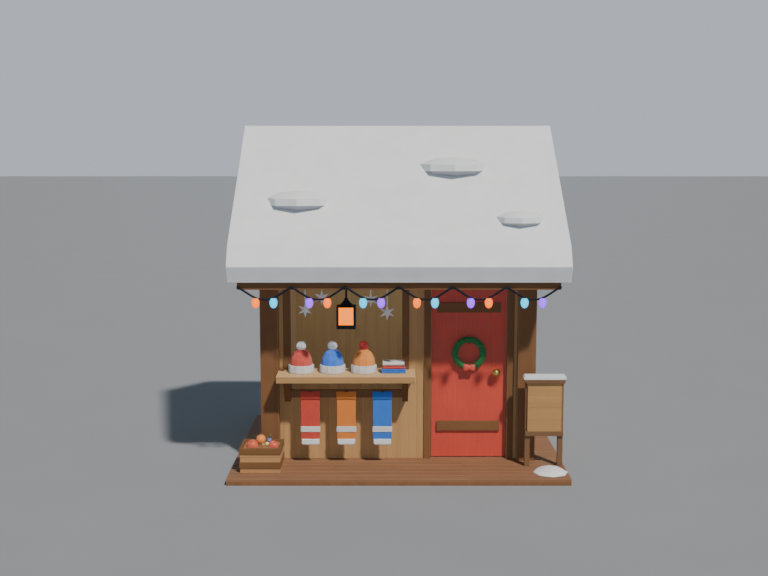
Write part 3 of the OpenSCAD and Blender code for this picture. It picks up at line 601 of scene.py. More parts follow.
FRONT_EDGES = [-POST_IN, *spread(*WINDOW, 11), *spread(WINDOW[1], DOORWAY[0], 2)[1:], *spread(*DOORWAY, 8)[1:],
               POST_IN]


def upright_boards(boards, edges, low_y, high_y, foot, head, mark):
    for i, (left, right) in enumerate(zip(edges, edges[1:])):
        boards.mark = mark + i
        boards.box((left, low_y, foot), (right, high_y, head))


def between(low, high):
    return [edge for edge in FRONT_EDGES if low - 0.001 < edge < high + 0.001]


beside, under, over, rear = Boards(), Boards(), Boards(), Boards()
for low, high in ((-POST_IN, WINDOW[0]), (WINDOW[1], DOORWAY[0]), (DOORWAY[1], POST_IN)):
    upright_boards(beside, between(low, high), WALL_FRONT, WALL_BACK, DECK_Z, OPENING_TOP, int(low * 10) + 40)
upright_boards(under, between(*WINDOW), WALL_FRONT, WALL_BACK, DECK_Z, SILL, 3)
upright_boards(over, FRONT_EDGES, WALL_FRONT, WALL_BACK, OPENING_TOP, WALL_HEAD, 2)
upright_boards(rear, spread(-POST_IN, POST_IN, 20), -WALL_BACK, -WALL_FRONT, DECK_Z, WALL_HEAD, 30)
beside.piece("wall_planks_beside", wall_wood, "wall_boards", ["front_wall_uprights"])
under.piece("wall_planks_under_window", wall_wood, "wall_boards", ["front_wall_under_window"])
over.piece("wall_planks_over", wall_wood, "wall_boards", ["front_wall_head"])
rear.piece("wall_planks_rear", wall_wood, "wall_boards", ["rear_wall"])
side_edges = spread(WALL_BACK, -WALL_BACK, 13)
for side, name in ((-1, "left"), (1, "right")):
    wall = Boards()
    for low, high in zip(side_edges, side_edges[1:]):
        outline = [(low, DECK_Z), (high, DECK_Z), (high, roof_z(high, 0))]
        if low < 0 < high:
            notch, cheek = roof_z(0, RAFTER_TOP) - RIDGE_DEPTH, roof_z(RIDGE_HALF, 0)
            outline += [(RIDGE_HALF, cheek), (RIDGE_HALF, notch), (-RIDGE_HALF, notch), (-RIDGE_HALF, cheek)]
        wall.along_x(*sorted((side * SIDE_IN, side * SIDE_OUT)), outline + [(low, roof_z(low, 0))])
    wall.piece("wall_planks_" + name, wall_wood, "wall_boards", [name + "_wall"])

# Roof boards, laid along the ridge

roof = Boards()
courses = spread(ROOF_BOARD_FOOT, ROOF_BOARD_TOP, 15)
for side in (-1, 1):
    for low, high in zip(courses, courses[1:]):
        under_side = RAFTER_TOP + SEAT_GAP
        roof.along_x(-ROOF_BOARD_X, ROOF_BOARD_X, [
            (side * low, roof_z(low, under_side)), (side * high, roof_z(high, under_side)),
            (side * high, roof_z(high, SNOW_BED)), (side * low, roof_z(low, SNOW_BED))])
roof.piece("roof_planks", roof_wood, "dark_timber", ["roof_boards"], bevel=0.003)

# Door leaf, and the nail that the wreath hangs on

leaf = Boards()
leaf_edges = spread(LEAF_LEFT, LEAF_RIGHT, 6)
for left, right in zip(leaf_edges, leaf_edges[1:]):
    leaf.box((left, LEAF_FRONT, LEAF_FOOT), (right, WALL_BACK, LEAF_TOP))
leaf.piece("door_planks", door_paint, "red_door_wood", ["door_leaf"], body="door", bevel=0.003)
NAIL_RADIUS, NAIL_SINK = 0.005, 0.001
nail_z = WREATH.z + WREATH_RADIUS - WREATH_REACH - NAIL_RADIUS
points, faces = lathe([(NAIL_RADIUS, 0), (NAIL_RADIUS, 0.070), (0.009, 0.072), (0.009, 0.076)], 16)
mesh_piece("wreath_nail", ([(DOOR_X + x, LEAF_FRONT + NAIL_SINK - z, nail_z + y) for x, y, z in points], faces),
           iron, body="door")

# Snow on the roof

SNOW_X = 1.960
CREASE, LIP, FOOT = 1.753, 1.887, 1.804
LIP_Z = roof_z(FOOT, SNOW_BED + SEAT_GAP) + 0.191


def snow_section(across, up):
    """Point of the snow's section: across runs from -1 to 1 over the ridge, up from its bed to its top."""
    reach = abs(across)
    low = Vector((FOOT * reach, roof_z(FOOT * reach, SNOW_BED + SEAT_GAP)))
    high = Vector((CREASE * reach, roof_z(CREASE * reach, SNOW_TOP)))
    if reach > 0.999:
        lip = Vector((LIP, LIP_Z))
        point = low.lerp(lip, up * 2) if up < 0.5 else lip.lerp(high, up * 2 - 1)
    else:
        point = low.lerp(high, up)
    return (1 if across >= 0 else -1) * point[0], point[1]


def snow_roof():
    """One closed skin over both slopes, with its outside softly uneven."""
    counts = (100, 120, 10)
    index, points, faces = {}, [], []

    def at(i, j, k):
        if (i, j, k) not in index:
            index[i, j, k] = len(points)
            y, z = snow_section(-1 + 2 * j / counts[1], k / counts[2])
            points.append(Vector((-SNOW_X + 2 * SNOW_X * i / counts[0], y, z)))
        return index[i, j, k]

    for axis in (2, 1, 0):
        one, two = [other for other in (0, 1, 2) if other != axis]
        for end in (0, counts[axis]):
            for a in range(counts[one]):
                for b in range(counts[two]):
                    corners = [{axis: end, one: a + c, two: b + d} for c, d in ((0, 0), (1, 0), (1, 1), (0, 1))]
                    faces.append([at(corner[0], corner[1], corner[2]) for corner in corners])
    inner = Vector((0, 0, 3.1))
    for key, number in index.items():
        if key[2]:
            point = points[number]
            wave = noise.noise(point * 1.7) * 0.5 + noise.noise(point * 5.1 + Vector((7, 3, 1))) * 0.3
            points[number] = point + (inner - point).normalized() * 0.002 * (1 + wave)
    return points, faces


roof_snow = mesh_piece("roof_snow", snow_roof(), snow_white, ["roof_snow_front", "roof_snow_rear"])
bevelled(roof_snow, 0.008, 3, angle=22)

# Knitwear


def knit_uv(mesh, coordinates):
    layer = mesh.uv_layers.new(name="knit")
    for loop in mesh.loops:
        layer.data[loop.index].uv = coordinates[loop.vertex_index]


def panelled(angle, count=10):
    """Factor that turns a circle into soft panels, one of which faces forward."""
    step = TAU / count
    off = (angle + math.pi / 2 + step / 2) % step - step / 2
    return math.cos(step / 2) / math.cos(off)


def brim_radius(i, angle, radius):
    rib = 0.0010 * (math.cos(60 * angle) - 1) if radius > 0.145 else 0
    return radius * panelled(angle) + rib


def crown_radius(i, angle, radius):
    rib = 0.0006 * (math.cos(60 * angle) - 1) * min(1, radius / 0.1)
    return radius * panelled(angle) + rib


def bobble(middle, reach, rng):
    """Ball of short tufts of yarn."""
    tufts, count = [], 620
    for i in range(count):
        height = 1 - 2 * (i + 0.5) / count
        ring = math.sqrt(1 - height * height)
        out = Vector((ring * math.cos(i * GOLDEN_ANGLE), ring * math.sin(i * GOLDEN_ANGLE), height))
        out = (out + Vector([rng.uniform(-0.12, 0.12) for _ in range(3)])).normalized()
        side = out.orthogonal().normalized()
        across = [side, out.cross(side), -side, -out.cross(side)]
        end = reach * rng.uniform(0.90, 1.0)
        rings = [[middle + out * r + way * w for way in across]
                 for r, w in ((0.020, 0.0035), (0.045, 0.0048), (end - 0.004, 0.0036))]
        tufts.append(spike(rings, middle + out * end))
    return joined(tufts)


HAT_STEPS, BOBBLE_Z, BOBBLE_RADIUS = 240, 0.322, 0.063
BRIM = [(0.132, 0.003), (0.145, 0.0), (0.1525, 0.002), (0.155, 0.008), (0.155, 0.030), (0.155, 0.060),
        (0.155, 0.086), (0.1535, 0.094), (0.149, 0.097), (0.141, 0.097), (0.1375, 0.092), (0.136, 0.080)]
CROWN = [(0.1365, 0.082), (0.1360, 0.100), (0.1335, 0.135), (0.1288, 0.165), (0.1250, 0.175), (0.1000, 0.231),
         (0.0945, 0.241), (0.0500, 0.275), (0.0435, 0.279), (0.0200, 0.283), (0.0010, 0.284)]
corners = [Vector(point) for point in CROWN]
crown_profile = [tuple(a.lerp(b, step / 3)) for a, b in zip(corners, corners[1:]) for step in range(3)]
crown_profile.append(CROWN[-1])


def hat_part(name, foot, profile, radius_at, surface, girth, rise, nodes=()):
    """Ring of knitting. girth is its length round the hat, rise the length from row to row."""
    obj = mesh_piece(name, lathe(profile, HAT_STEPS, foot, radius_at), surface, nodes)
    knit_uv(obj.data, [(around * girth, i * rise) for i in range(len(profile))
                       for around in spread(0, 1, HAT_STEPS)[:-1]])


for color, hat_x, bobble_yarn in zip(("red", "blue", "orange"), HAT_X, (white_yarn, white_yarn, red_yarn)):
    foot, slot = (hat_x, HAT_Y, COUNTER_Z + SOFT_GAP), color + "_knit"
    hat_part(color + "_hat_brim", foot, BRIM, brim_radius, knits["white"], 0.95, 0.011)
    hat_part(color + "_hat_crown", foot, crown_profile, crown_radius, lit_hat_knits[color], 0.80, 0.0085,
             [color + "_hat"])
    tufts = bobble(Vector(foot) + Vector((0, 0, BOBBLE_Z)), BOBBLE_RADIUS, random.Random(hat_x))
    mesh_piece(color + "_hat_bobble", tufts, bobble_yarn)

# Cloth


def thickened(centre, thick):
    """Two faces of cloth, as (y, z, y, z), on both sides of its middle line."""
    section = []
    for i, point in enumerate(centre):
        ahead = direction_at(centre, i)
        normal = Vector((-ahead[1], ahead[0])).normalized() * thick / 2
        section.append((*(point + normal), *(point - normal)))
    return section


def cloth_piece(name, place, section, across, width_at, bend, rise, surface, nodes=()):
    """Closed strip of knitting through a section. rise is the length from row to row of the section."""
    points, uv = [], []
    for face in (0, 2):
        for i, row in enumerate(section):
            for share in spread(-1, 1, across):
                x = share * width_at(i)
                shift_y, shift_z = bend(i, share)
                points.append((place[0] + x, place[1] + row[face] + shift_y, row[face + 1] + shift_z))
                uv.append((x, i * rise))
    obj = mesh_piece(name, (points, sheet_faces(len(section), across + 1)), surface, nodes)
    knit_uv(obj.data, uv)
    return obj


# Scarves, each folded over at its top and hung by a loop on its peg

SCARF_HALF, SCARF_THICK, SCARF_MID = 0.1130, 0.0085, 0.0062
SCARF_FOLD, SCARF_FOOT, FLAP_FOOT = 0.968, 0.385, 0.894
BAND_HALF, BAND_LOW, BAND_HIGH = 0.1180, 0.483, 0.553
FRINGE_HALF, FRINGE_TOP, FRINGE_FOOT, STRANDS = 0.101, 0.398, 0.324, 24
BACK_ROWS = 43
scarf_line = [Vector((SCARF_BACK - SCARF_MID, z)) for z in spread(SCARF_FOOT, SCARF_FOLD, BACK_ROWS - 1)]
scarf_line += [Vector((SCARF_BACK - SCARF_MID * (2 - math.cos(turn)), SCARF_FOLD + 0.014 * math.sin(turn)))
               for turn in spread(0, math.pi, 9)[1:-1]]
scarf_line += [Vector((SCARF_BACK - SCARF_MID * 3, z)) for z in spread(SCARF_FOLD, FLAP_FOOT, 7)]
scarf_section = thickened(scarf_line, SCARF_THICK)
band_section = [(SCARF_BACK - 0.0012, z, SCARF_BACK - 0.0200, z) for z in spread(BAND_LOW, BAND_HIGH, 6)]


def scarf_half(i):
    return SCARF_HALF + 0.005 * max(0, min(1, (i - BACK_ROWS) / 8))


def scarf_bend(i, share, phase):
    """The cloth waves as it hangs, and its fold dips between the ends of the loop."""
    z = scarf_section[i][1]
    hang = max(0, min(1, (SCARF_FOLD - z) / 0.5)) if i < BACK_ROWS else 0
    dip = -0.013 * math.exp(-(share / 0.20) ** 2) * max(0, min(1, (z - 0.945) / 0.02))
    return -0.0035 * hang * (0.5 + 0.5 * math.sin(share * 4.2 + phase)), dip


def fringe_strand(i, scarf_x, rng):
    x = scarf_x - FRINGE_HALF + 2 * FRINGE_HALF * i / (STRANDS - 1)
    edge = abs(i - (STRANDS - 1) / 2) / ((STRANDS - 1) / 2)
    low = FRINGE_FOOT + 0.009 * max(0, (edge - 0.75) / 0.25) ** 2 + rng.uniform(0, 0.004)
    lean = rng.uniform(-0.003, 0.003)
    rings = []
    for t, wide in zip((0, 0.2, 0.4, 0.6, 0.8, 1), (0.0050, 0.0052, 0.0046, 0.0050, 0.0052, 0.0034)):
        y = SCARF_BACK - 0.0105 + 0.002 * math.sin(t * 3 + i)
        z = FRINGE_TOP + (low - FRINGE_TOP) * t
        rings.append([(x + lean * t * t + wide * math.cos(turn), y + wide * 1.5 * math.sin(turn), z)
                      for turn in spread(0, TAU, 8)[:-1]])
    return tube(rings)


for color, scarf_x in zip(("red", "orange", "blue"), SCARF_X):
    place, slot = (scarf_x, 0), color + "_knit"
    body = cloth_piece(color + "_scarf_body", place, scarf_section, 28, scarf_half,
                       lambda i, share: scarf_bend(i, share, scarf_x * 5), 0.0139, knits[color],
                       [color + "_scarf"])
    band = cloth_piece(color + "_scarf_band", place, band_section, 28, lambda i: BAND_HALF,
                       lambda i, share: (0.0, 0.0), 0.0117, knits["white"])
    bevelled(band, 0.006, 3)
    rng = random.Random(scarf_x)
    fringe = mesh_piece(color + "_scarf_fringe", joined(fringe_strand(i, scarf_x, rng) for i in range(STRANDS)),
                        white_yarn)
    loop_y = SCARF_BACK - 0.012
    arc = [(scarf_x + 0.0125 * math.sin(turn), loop_y, SCARF_TOP - 0.0125 * math.cos(turn))
           for turn in spread(math.radians(320), math.radians(40), 20)]
    loop_line = [(scarf_x - 0.016, loop_y, SCARF_FOLD), *arc, (scarf_x + 0.016, loop_y, SCARF_FOLD)]
    loop = curve_piece(color + "_scarf_loop", [loop_line], 0.003, dark_yarn)

# Folded textiles


def folded_line(depth, low, high, layers):
    """Middle line of cloth folded to and fro in layers."""
    radius = (high - low) / layers / 2
    half = depth / 2 - radius
    centre = []
    for layer in range(layers):
        z = low + radius * (2 * layer + 1)
        side = 1 if layer % 2 == 0 else -1
        centre += [Vector((side * y, z)) for y in spread(half, -half, 10)]
        if layer < layers - 1:
            centre += [Vector((-side * (half + radius * math.sin(turn)), z + radius * (1 - math.cos(turn))))
                       for turn in spread(0, math.pi, 6)[1:-1]]
    return centre


TEXTILE_X, TEXTILE_DEPTH = -0.057, 0.170
level = COUNTER_Z + SOFT_GAP
TEXTILES = (("lowest", "blue", 0.290, 0.055, 4), ("middle", "red", 0.267, 0.039, 3),
            ("topmost", "white", 0.261, 0.042, 2))
for name, color, width, height, layers in TEXTILES:
    centre = folded_line(TEXTILE_DEPTH, level, level + height, layers)
    length = length_of(centre)
    cloth = cloth_piece("folded_" + name, (TEXTILE_X, HAT_Y), thickened(centre, height / layers * 0.92), 22,
                        lambda i: width / 2 - 0.002 + 0.002 * math.sin(i * 0.7),
                        lambda i, share: (0.0015 * math.sin(share * 5 + i * 0.4), 0.0),
                        length / len(centre), knits[color],
                        ["folded_textiles"] if name == "lowest" else ())
    bevelled(cloth, 0.0025, 2, angle=50)
    level += height

# Crate with its slats and bands

X0, X1, Y0, Y1, Z0, Z1 = -1.8665, -1.3955, -1.650, -1.220, DECK_Z, 0.374
SLAT, BAND, SLAT_GAP, FLOOR_SLATS = 0.02, 0.01, 0.001, 4
crate = Boards()
for low, high, kind in ((Z0, 0.170, 0), (0.173, 0.262, 0), (0.265, 0.303, 0), (0.304, Z1, 1)):
    crate.box((X0, Y0, low), (X1, Y0 + SLAT, high), kind)
    crate.box((X0, Y1 - SLAT, low), (X1, Y1, high), kind)
    crate.box((X0, Y0 + SLAT, low), (X0 + SLAT, Y1 - SLAT, high), kind)
    crate.box((X1 - SLAT, Y0 + SLAT, low), (X1, Y1 - SLAT, high), kind)
floor_edges = spread(X0 + SLAT, X1 - SLAT, FLOOR_SLATS)
for left, right in zip(floor_edges, floor_edges[1:]):
    crate.box((left + SLAT_GAP, Y0 + SLAT, Z0), (right - SLAT_GAP, Y1 - SLAT, Z0 + SLAT))
for low, high in ((0.304, 0.374), (0.135, 0.211)):
    crate.box((X0 - BAND, Y0 - BAND, low), (X1 + BAND, Y0, high), 1)
    crate.box((X0 - BAND, Y1, low), (X1 + BAND, Y1 + BAND, high), 1)
    crate.box((X0 - BAND, Y0, low), (X0, Y1, high), 1)
    crate.box((X1, Y0, low), (X1 + BAND, Y1, high), 1)
crate.piece("crate_boards", [crate_tan, crate_dark], "crate_wood", ["crate"], bevel=0.0025)

# Sign

SIGN_X, SIGN_Y, SIGN_HALF, SIGN_LEG = 1.745, -1.370, 0.2285, 0.062
RAIL_Z, PANEL_Z, PANEL_HALF, CAP_Z, CAP_TOP, CAP_FLARE = 0.457, 0.512, 0.2035, 1.102, 1.146, 0.020
sign = Boards()
for x in (SIGN_X - SIGN_HALF, SIGN_X + SIGN_HALF - SIGN_LEG):
    sign.box((x, SIGN_Y, DECK_Z), (x + SIGN_LEG, SIGN_Y + SIGN_LEG, CAP_Z), 1)
sign.box((SIGN_X - SIGN_HALF, SIGN_Y - 0.030, RAIL_Z), (SIGN_X + SIGN_HALF, SIGN_Y + 0.067, PANEL_Z), 2)
cap_outline = [(-SIGN_HALF, CAP_Z), (SIGN_HALF, CAP_Z), (SIGN_HALF + CAP_FLARE, CAP_TOP),
               (-SIGN_HALF - CAP_FLARE, CAP_TOP)]
sign.prism([(SIGN_X + x, SIGN_Y - 0.052, z) for x, z in cap_outline],
           [(SIGN_X + x, SIGN_Y + 0.072, z) for x, z in cap_outline], 2)
panel_edges = spread(PANEL_Z, CAP_Z, 4)
for low, high in zip(panel_edges, panel_edges[1:]):
    sign.box((SIGN_X - PANEL_HALF, SIGN_Y - 0.024, low), (SIGN_X + PANEL_HALF, SIGN_Y, high))
sign.piece("sign_boards", [sign_wood, sign_dark_z, sign_dark_x], "sign_wood", ["sign_stand"], bevel=0.003)

# Wreath of fir twigs with a ribbon bow

RING_STEPS, RING_SIDES, RING_THICK, TWIGS, TWIG_NEEDLES = 120, 14, 0.0345, 420, 9
NEEDLE_ROOT, NEEDLE_REACH, NEEDLE_BACK = 0.0325, 0.0405, 0.0385


def needle(root, way, side, reach, wide):
    """Flat four-sided needle that tapers to a point."""
    other = way.cross(side).normalized()
    ring = [root + side * wide, root + other * wide * 0.5, root - side * wide, root - other * wide * 0.5]
    middle = [root + way * reach * 0.5 + (point - root) * 0.9 for point in ring]
    return spike([ring, middle], root + way * reach)


def twig_needles(i, rng):
    """Needles of one twig that leans out of the ring."""
    angle = TAU * (i + rng.uniform(-0.4, 0.4)) / TWIGS
    turn = (i * GOLDEN_ANGLE) % TAU
    way = Vector((math.cos(angle), 0, math.sin(angle)))
    along = Vector((-math.sin(angle), 0, math.cos(angle)))
    out = way * math.cos(turn) + Vector((0, math.sin(turn), 0))
    if out.y > 0.6:
        return []
    needles = []
    twig = (along * 0.9 + out * 0.3).normalized()
    for k in range(TWIG_NEEDLES):
        root = WREATH + way * WREATH_RADIUS + out * NEEDLE_ROOT + twig * 0.0038 * k
        side = twig.orthogonal().normalized()
        side = side * math.cos(k * 2.4) + twig.cross(side) * math.sin(k * 2.4)
        direction = (twig * 0.8 + side * 0.7 + Vector([rng.uniform(-0.1, 0.1) for _ in range(3)])).normalized()
        reach = rng.uniform(0.010, 0.016)
        tip = root + direction * reach - WREATH
        spread_out = math.hypot(math.hypot(tip.x, tip.z) - WREATH_RADIUS, tip.y)
        if spread_out > NEEDLE_REACH:
            reach *= max(0.3, 1 - (spread_out - NEEDLE_REACH) / reach)
        if (root + direction * reach).y < WREATH.y + NEEDLE_BACK:
            needles.append(needle(root, direction, twig.cross(direction).normalized(), reach, 0.0013))
    return needles


ring_points = []
for angle in spread(0, TAU, RING_STEPS)[:-1]:
    way = Vector((math.cos(angle), 0, math.sin(angle)))
    for k in range(RING_SIDES):
        turn = TAU * k / RING_SIDES
        thick = RING_THICK * (1 + 0.10 * noise.noise(Vector((way.x * 5, way.z * 5, k * 0.35))))
        out = way * math.cos(turn) + Vector((0, math.sin(turn), 0))
        ring_points.append(WREATH + way * WREATH_RADIUS + out * thick)
mesh_piece("wreath_ring", (ring_points, grid_faces(RING_STEPS, RING_SIDES, wrap_rows=True, wrap_columns=True)),
           needle_green, ["door_wreath"], body="door")
rng = random.Random(11)
mesh_piece("wreath_needles", joined(part for i in range(TWIGS) for part in twig_needles(i, rng)), needle_green,
           body="door", smooth=False)

BOW = WREATH + Vector((0, -0.030, -WREATH_RADIUS))


def ribbon(line):
    """Closed ribbon of cloth 1.6 mm thick along a level loop, and the area of its cloth."""
    rings, area = [], 0
    up = Vector((0, 0, 1))
    for i, point in enumerate(line):
        ahead = direction_at(line, i).normalized()
        normal = ahead.cross(up)
        wide = 0.023 + 0.020 * math.sin(math.pi * i / (len(line) - 1)) ** 0.6
        area += (point - line[max(0, i - 1)]).length * wide * 2
        rings.append([point + up * wide * share * side
                      + normal * ((math.sqrt(1.04 - share * share) - 0.2) * wide * 0.30 + 0.0008 * side)
                      for side in (1, -1) for share in spread(-1, 1, 10)])
    return tube(rings), area


bow_parts, bow_area, bow_length = [], 0, 0
for side in (-1, 1):
    loop = [BOW + Vector((side * (0.034 - 0.030 * math.cos(turn)), -0.012 - 0.011 * math.sin(turn), 0))
            for turn in spread(0, TAU, 28)[::side]]
    part, area = ribbon(loop)
    bow_parts.append(part)
    bow_area += area
    bow_length += length_of(loop)
bow = mesh_piece("wreath_bow", joined(bow_parts), ribbon_red, body="door")
knot_points = []
for angle in spread(0, TAU, 16)[:-1]:
    for turn in spread(0, TAU, 12)[:-1]:
        bulge = 0.003 * math.sin(turn)
        knot_points.append(BOW + Vector((0.016 * math.cos(turn), -0.013 - (0.018 + bulge) * math.cos(angle),
                                         (0.030 + bulge) * math.sin(angle))))
knot_faces = grid_faces(16, 12, wrap_rows=True, wrap_columns=True)
knot = mesh_piece("wreath_bow_knot", (knot_points, knot_faces), ribbon_red, body="door")

# Fruit on a bed of wood wool: place in the crate, radius, dent at the stem, and skin

CRATE_X, CRATE_Y, BED_Z = -1.631, -1.650, 0.350
FRUIT = (("apple_left", -0.113, 0.220, 0.005, 0.069, 0.22, apple_peel),
         ("apple_right", 0.137, 0.220, 0.002, 0.061, 0.22, apple_peel),
         ("orange_fruit", -0.023, 0.320, 0.053, 0.059, 0.05, orange_peel),
         ("lime", 0.060, 0.262, 0.012, 0.025, 0.05, lime_peel),
         ("plum", 0.073, 0.375, 0.026, 0.030, 0.14, plum_peel),
         ("green_fruit", 0.011, 0.255, 0.005, 0.022, 0.05, green_peel))
for name, x, y, z, radius, dent, surface in FRUIT:
    profile = []
    for turn in spread(0, math.pi, 32):
        ring = radius * math.sin(turn) ** (0.92 if dent > 0.1 else 1.0)
        height = -radius * math.cos(turn) * (1 - dent * math.exp(-(math.sin(turn) / 0.35) ** 2))
        profile.append((max(ring, 0.0006), height * 0.97))

    def lobed(i, angle, ring):
        lobes = 0.02 * math.cos(5 * angle) * (1 - math.sin(math.pi * i / 32)) if dent > 0.2 else 0
        return ring * (0.985 + lobes)

    points, faces = lathe(profile, 48, radius_at=lobed)
    lean = Matrix.Rotation(0.35, 3, "X") @ Matrix.Rotation(-0.3 if x < 0 else 0.25, 3, "Y")
    middle = Vector((CRATE_X + x, CRATE_Y + y, BED_Z + z))
    mesh_piece(name, ([lean @ Vector(point) + middle for point in points], faces), surface,
               ["crate_fruit"] if name == "apple_left" else ())
    top = middle + lean @ Vector((0, 0, radius * (1 - dent) * 0.95))
    stem = [top + lean @ Vector((0.004 * t * t, 0, 0.020 * t - 0.003)) for t in spread(0, 1, 4)]
    curve_piece(name + "_stem", [stem], 0.0022, twig_bark)


def leaf_shape(place, way, up, reach, wide):
    """Arched leaf with a fold along its middle."""
    root, way, up = Vector((CRATE_X, CRATE_Y, BED_Z)) + Vector(place), Vector(way).normalized(), Vector(up)
    side = way.cross(up).normalized()
    points = []
    for share in spread(0, 1, 8):
        half = wide / 2 * math.sin(math.pi * min(1, share * 0.96 + 0.04)) ** 0.8
        middle = root + way * reach * share + up * reach * 0.18 * math.sin(math.pi * share)
        points += [middle + side * half * across + up * half * 0.35 * abs(across) for across in spread(-1, 1, 4)]
    return points + [point - up * 0.0008 for point in points], sheet_faces(9, 5)


leaves = joined([leaf_shape((-0.055, 0.305, 0.055), (-0.75, -0.35, 0.55), (0.3, 0, 0.95), 0.070, 0.034),
                 leaf_shape((0.070, 0.372, 0.052), (0.5, -0.2, 0.85), (-0.5, -0.6, 0.5), 0.058, 0.032)])
mesh_piece("fruit_leaves", leaves, leaf_green)

BED_X, BED_Y, BED_FOOT, BED_COLUMNS, BED_ROWS = (-1.846, -1.416), (-1.6295, -1.2405), 0.1005, 44, 40
points = []
for y in spread(*BED_Y, BED_ROWS - 1):
    for x in spread(*BED_X, BED_COLUMNS - 1):
        z = BED_Z - 0.006 - 0.008 * noise.noise(Vector((x * 24, y * 24, 3.0)))
        for _, fruit_x, fruit_y, fruit_z, radius, _, _ in FRUIT:
            away = math.hypot(x - CRATE_X - fruit_x, y - CRATE_Y - fruit_y)
            if away < radius * 1.05:
                z = min(z, BED_Z + fruit_z - math.sqrt(max(0, (radius * 1.04) ** 2 - away * away)))
        points.append((x, y, z))
points += [(x, y, BED_FOOT) for x, y, z in points]
mesh_piece("wool_bed", (points, sheet_faces(BED_ROWS, BED_COLUMNS)), straw, ["crate_bed"])


def shaving(i, rng):
    """Thin curl of wood that lies on the bed, or nothing where a fruit lies."""
    x = rng.uniform(BED_X[0] + 0.02, BED_X[1] - 0.02)
    y = rng.uniform(BED_Y[0] + 0.02, BED_Y[1] - 0.02)
    if any(math.hypot(x - CRATE_X - f[1], y - CRATE_Y - f[2]) < f[4] * 0.97 for f in FRUIT):
        return []
    turn, curl, reach = rng.uniform(0, TAU), rng.uniform(-30, 30), rng.uniform(0.025, 0.055)
    rings = []
    for t in spread(-0.5, 0.5, 8):
        heading = turn + curl * t * reach
        point = Vector((min(BED_X[1] - 0.003, max(BED_X[0] + 0.003, x + reach * t * math.cos(heading))),
                        min(BED_Y[1] - 0.003, max(BED_Y[0] + 0.003, y + reach * t * math.sin(heading))),
                        BED_Z - 0.009 + 0.009 * math.cos(t * 3) + rng.uniform(-0.001, 0.001)))
        across = Vector((-math.sin(heading), math.cos(heading), 0.3 * math.sin(t * 9 + i))) * 0.0016
        lift = Vector((0, 0, 0.0004))
        rings.append([point + across + lift, point - across + lift, point - across - lift, point + across - lift])
    return [tube(rings)]


rng = random.Random(5)
mesh_piece("wool_shavings", joined(part for i in range(420) for part in shaving(i, rng)), straw)

# Bulbs on the string

BULB = [(0.0006, -0.1175), (0.010, -0.1165), (0.020, -0.1125), (0.029, -0.105), (0.036, -0.095), (0.042, -0.080),
        (0.0455, -0.064), (0.0465, -0.050), (0.0445, -0.034), (0.0390, -0.018), (0.0310, -0.006), (0.024, 0.002)]
BULB_CAP = [(0.0250, -0.001), (0.0262, 0.001), (0.0225, 0.0045), (0.0165, 0.0078), (0.008, 0.0098),
            (0.0006, 0.0102)]
bulb_places = [swag_point(swag, *SWAG[at]) for swag in range(SWAGS) for at in (2, 4)]
for first, color in enumerate(("orange", "cyan", "violet")):
    bulbs = joined(lathe(BULB, 40, place) for place in bulb_places[first::3])
    mesh_piece("bulbs_" + color, bulbs, bulb_glass[color],
                                  ["light_bulbs"] if color == "orange" else ())
caps = joined(lathe(BULB_CAP, 40, place) for place in bulb_places)
mesh_piece("bulb_caps", caps, cable)

# Lantern panes and candle

LANTERN_X, HANG_Y, LANTERN_TOP, LANTERN_FOOT = -0.632, -0.985, 1.975, 1.705
PANE_NEAR, PANE_FAR, PANE_HALF = 0.098, 0.1025, 0.0895
glass_low, glass_high = LANTERN_FOOT + 0.046, LANTERN_TOP - 0.008
panes = Boards()
for side in (-1, 1):
    near, far = sorted((side * PANE_NEAR, side * PANE_FAR))
    for low, high in (((near, -PANE_HALF), (far, PANE_HALF)), ((-PANE_HALF, near), (PANE_HALF, far))):
        panes.box((LANTERN_X + low[0], HANG_Y + low[1], glass_low),
                  (LANTERN_X + high[0], HANG_Y + high[1], glass_high))
panes.piece("lantern_panes", lantern_pane, "lantern_glass", ["lantern_glass"], bevel=0.001)
candle = [(0.024, 0), (0.026, 0.004), (0.026, 0.11), (0.020, 0.118), (0.004, 0.116)]
mesh_piece("lantern_candle", lathe(candle, 32, (LANTERN_X, HANG_Y, glass_low)), candle_wax)
cap = [(0.016, -0.016), (0.024, -0.012), (0.026, -0.006), (0.022, 0.004), (0.014, 0.012)]
mesh_piece("lantern_cap", lathe(cap, 24, (LANTERN_X, HANG_Y, LANTERN_TOP + 0.087)), iron)

# Stars on their wires

STAR_TIP, STAR_WAIST, STAR_HALF, STAR_CROWN, WIRE_TOP = 0.0995, 0.036, 0.0012, 0.006, 2.2005
star_shapes, wires = [], []
for offset, drop in ((-0.499, 0.275), (-0.298, 0.125), (0.298, 0.150), (0.499, 0.308)):
    middle = Vector((LANTERN_X + offset, HANG_Y, 2.200 - drop))
    rim = [(math.sin(TAU * i / 12) * reach, math.cos(TAU * i / 12) * reach)
           for i, reach in enumerate((STAR_TIP, STAR_WAIST) * 6)]
    shape = [middle + Vector((x, y, z)) for y in (-STAR_HALF, STAR_HALF) for x, z in rim]
    shape += [middle + Vector((0, y, 0)) for y in (-STAR_CROWN, STAR_CROWN)]
    faces = []
    for i in range(12):
        j = (i + 1) % 12
        faces += [[i, j, 24], [12 + i, 12 + j, 25], [i, j, 12 + j, 12 + i]]
    star_shapes.append((shape, faces))
    wires.append([middle + Vector((0, 0, 0.090)), Vector((middle.x, HANG_Y, WIRE_TOP))])
mesh_piece("stars", joined(star_shapes), star_metal, ["hanging_stars"], smooth=False)
curve_piece("star_wires", wires, 0.0065, star_metal)

# Floor and light

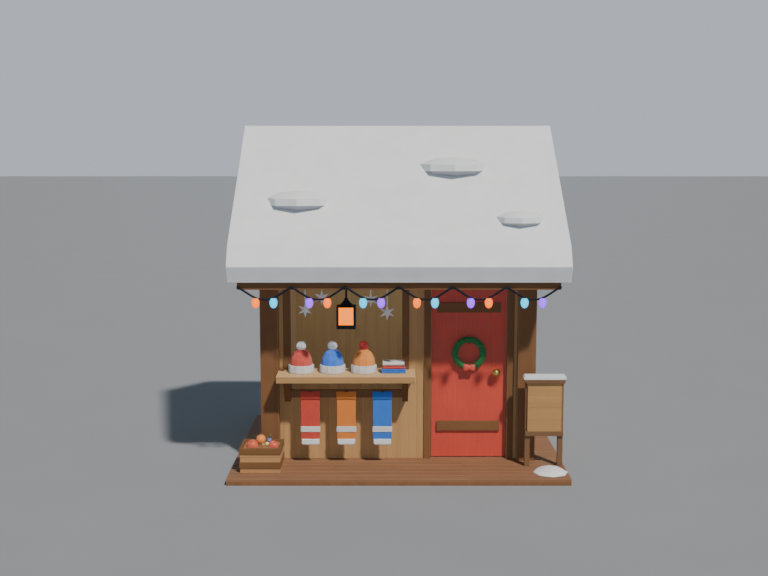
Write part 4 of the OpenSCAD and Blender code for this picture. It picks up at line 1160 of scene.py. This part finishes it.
FLOOR_HALF = 160
SHADE = (0.66, 0.84, 1.0)
floor_mesh = bpy.data.meshes.new("floor")
floor_corners = [(x * FLOOR_HALF, y * FLOOR_HALF, 0) for x, y in ((-1, -1), (1, -1), (1, 1), (-1, 1))]
floor_mesh.from_pydata(floor_corners, [], [(0, 1, 2, 3)])
floor = bpy.data.objects.new("floor", floor_mesh)
scene.collection.objects.link(floor)
n = Nodes("studio_floor", Specular_IOR_Level=0.2)
cloud = n.noise(n.place, 0.8, 3.0)
floor_mesh.materials.append(n.finish(n.mix(cloud, (0.265, 0.272, 0.290), (0.285, 0.292, 0.312)),
                                     cloud.stretch(0.3, 0.7, 0.75, 0.9)))

world = bpy.data.worlds.new("studio")
scene.world = world
world.use_nodes = True
nodes, links = world.node_tree.nodes, world.node_tree.links
room_light, backdrop = nodes["Background"], nodes.new("ShaderNodeBackground")
room_light.inputs["Color"].default_value = (*SHADE, 1)
room_light.inputs["Strength"].default_value = 0.10
backdrop.inputs["Color"].default_value = (0.52, 0.55, 0.61, 1)
seen = nodes.new("ShaderNodeMixShader")
links.new(nodes.new("ShaderNodeLightPath").outputs["Is Camera Ray"], seen.inputs["Fac"])
links.new(room_light.outputs["Background"], seen.inputs[1])
links.new(backdrop.outputs["Background"], seen.inputs[2])
links.new(seen.outputs["Shader"], nodes["World Output"].inputs["Surface"])


def lamp(name, kind, toward, energy, color, **settings):
    """Lamp that lies toward one side of what it lights."""
    obj = bpy.data.objects.new(name, bpy.data.lights.new(name, kind))
    obj.data.energy = energy
    obj.data.color = color
    for key, value in settings.items():
        setattr(obj.data, key, value)
    obj.rotation_euler = Vector(toward).to_track_quat("Z", "Y").to_euler()
    scene.collection.objects.link(obj)
    return obj


lamp("key", "SUN", (0.326, -0.563, 0.760), 3.97, (1.0, 0.955, 0.885), angle=math.radians(3))
for name, toward, energy in (("fill_front", (0, -1, 0), 0.62), ("fill_left", (-1, 0, 0), 0.60),
                             ("fill_right", (1, 0, 0), 0.70), ("fill_back", (0, 1, 0), 0.70),
                             ("fill_top", (0, 0, 1), 0.35), ("fill_foot", (0, 0, -1), 0.12)):
    lamp(name, "SUN", toward, energy, SHADE, angle=math.radians(30), use_shadow=False)
room_lamp = lamp("room_lamp", "AREA", (0, -1.77, 0.75), 11, (0.55, 0.88, 1.0), shape="RECTANGLE", size=2.4,
                 size_y=0.2)
room_lamp.location = (0, -0.85, 2.55)
room_lamp.visible_camera = False
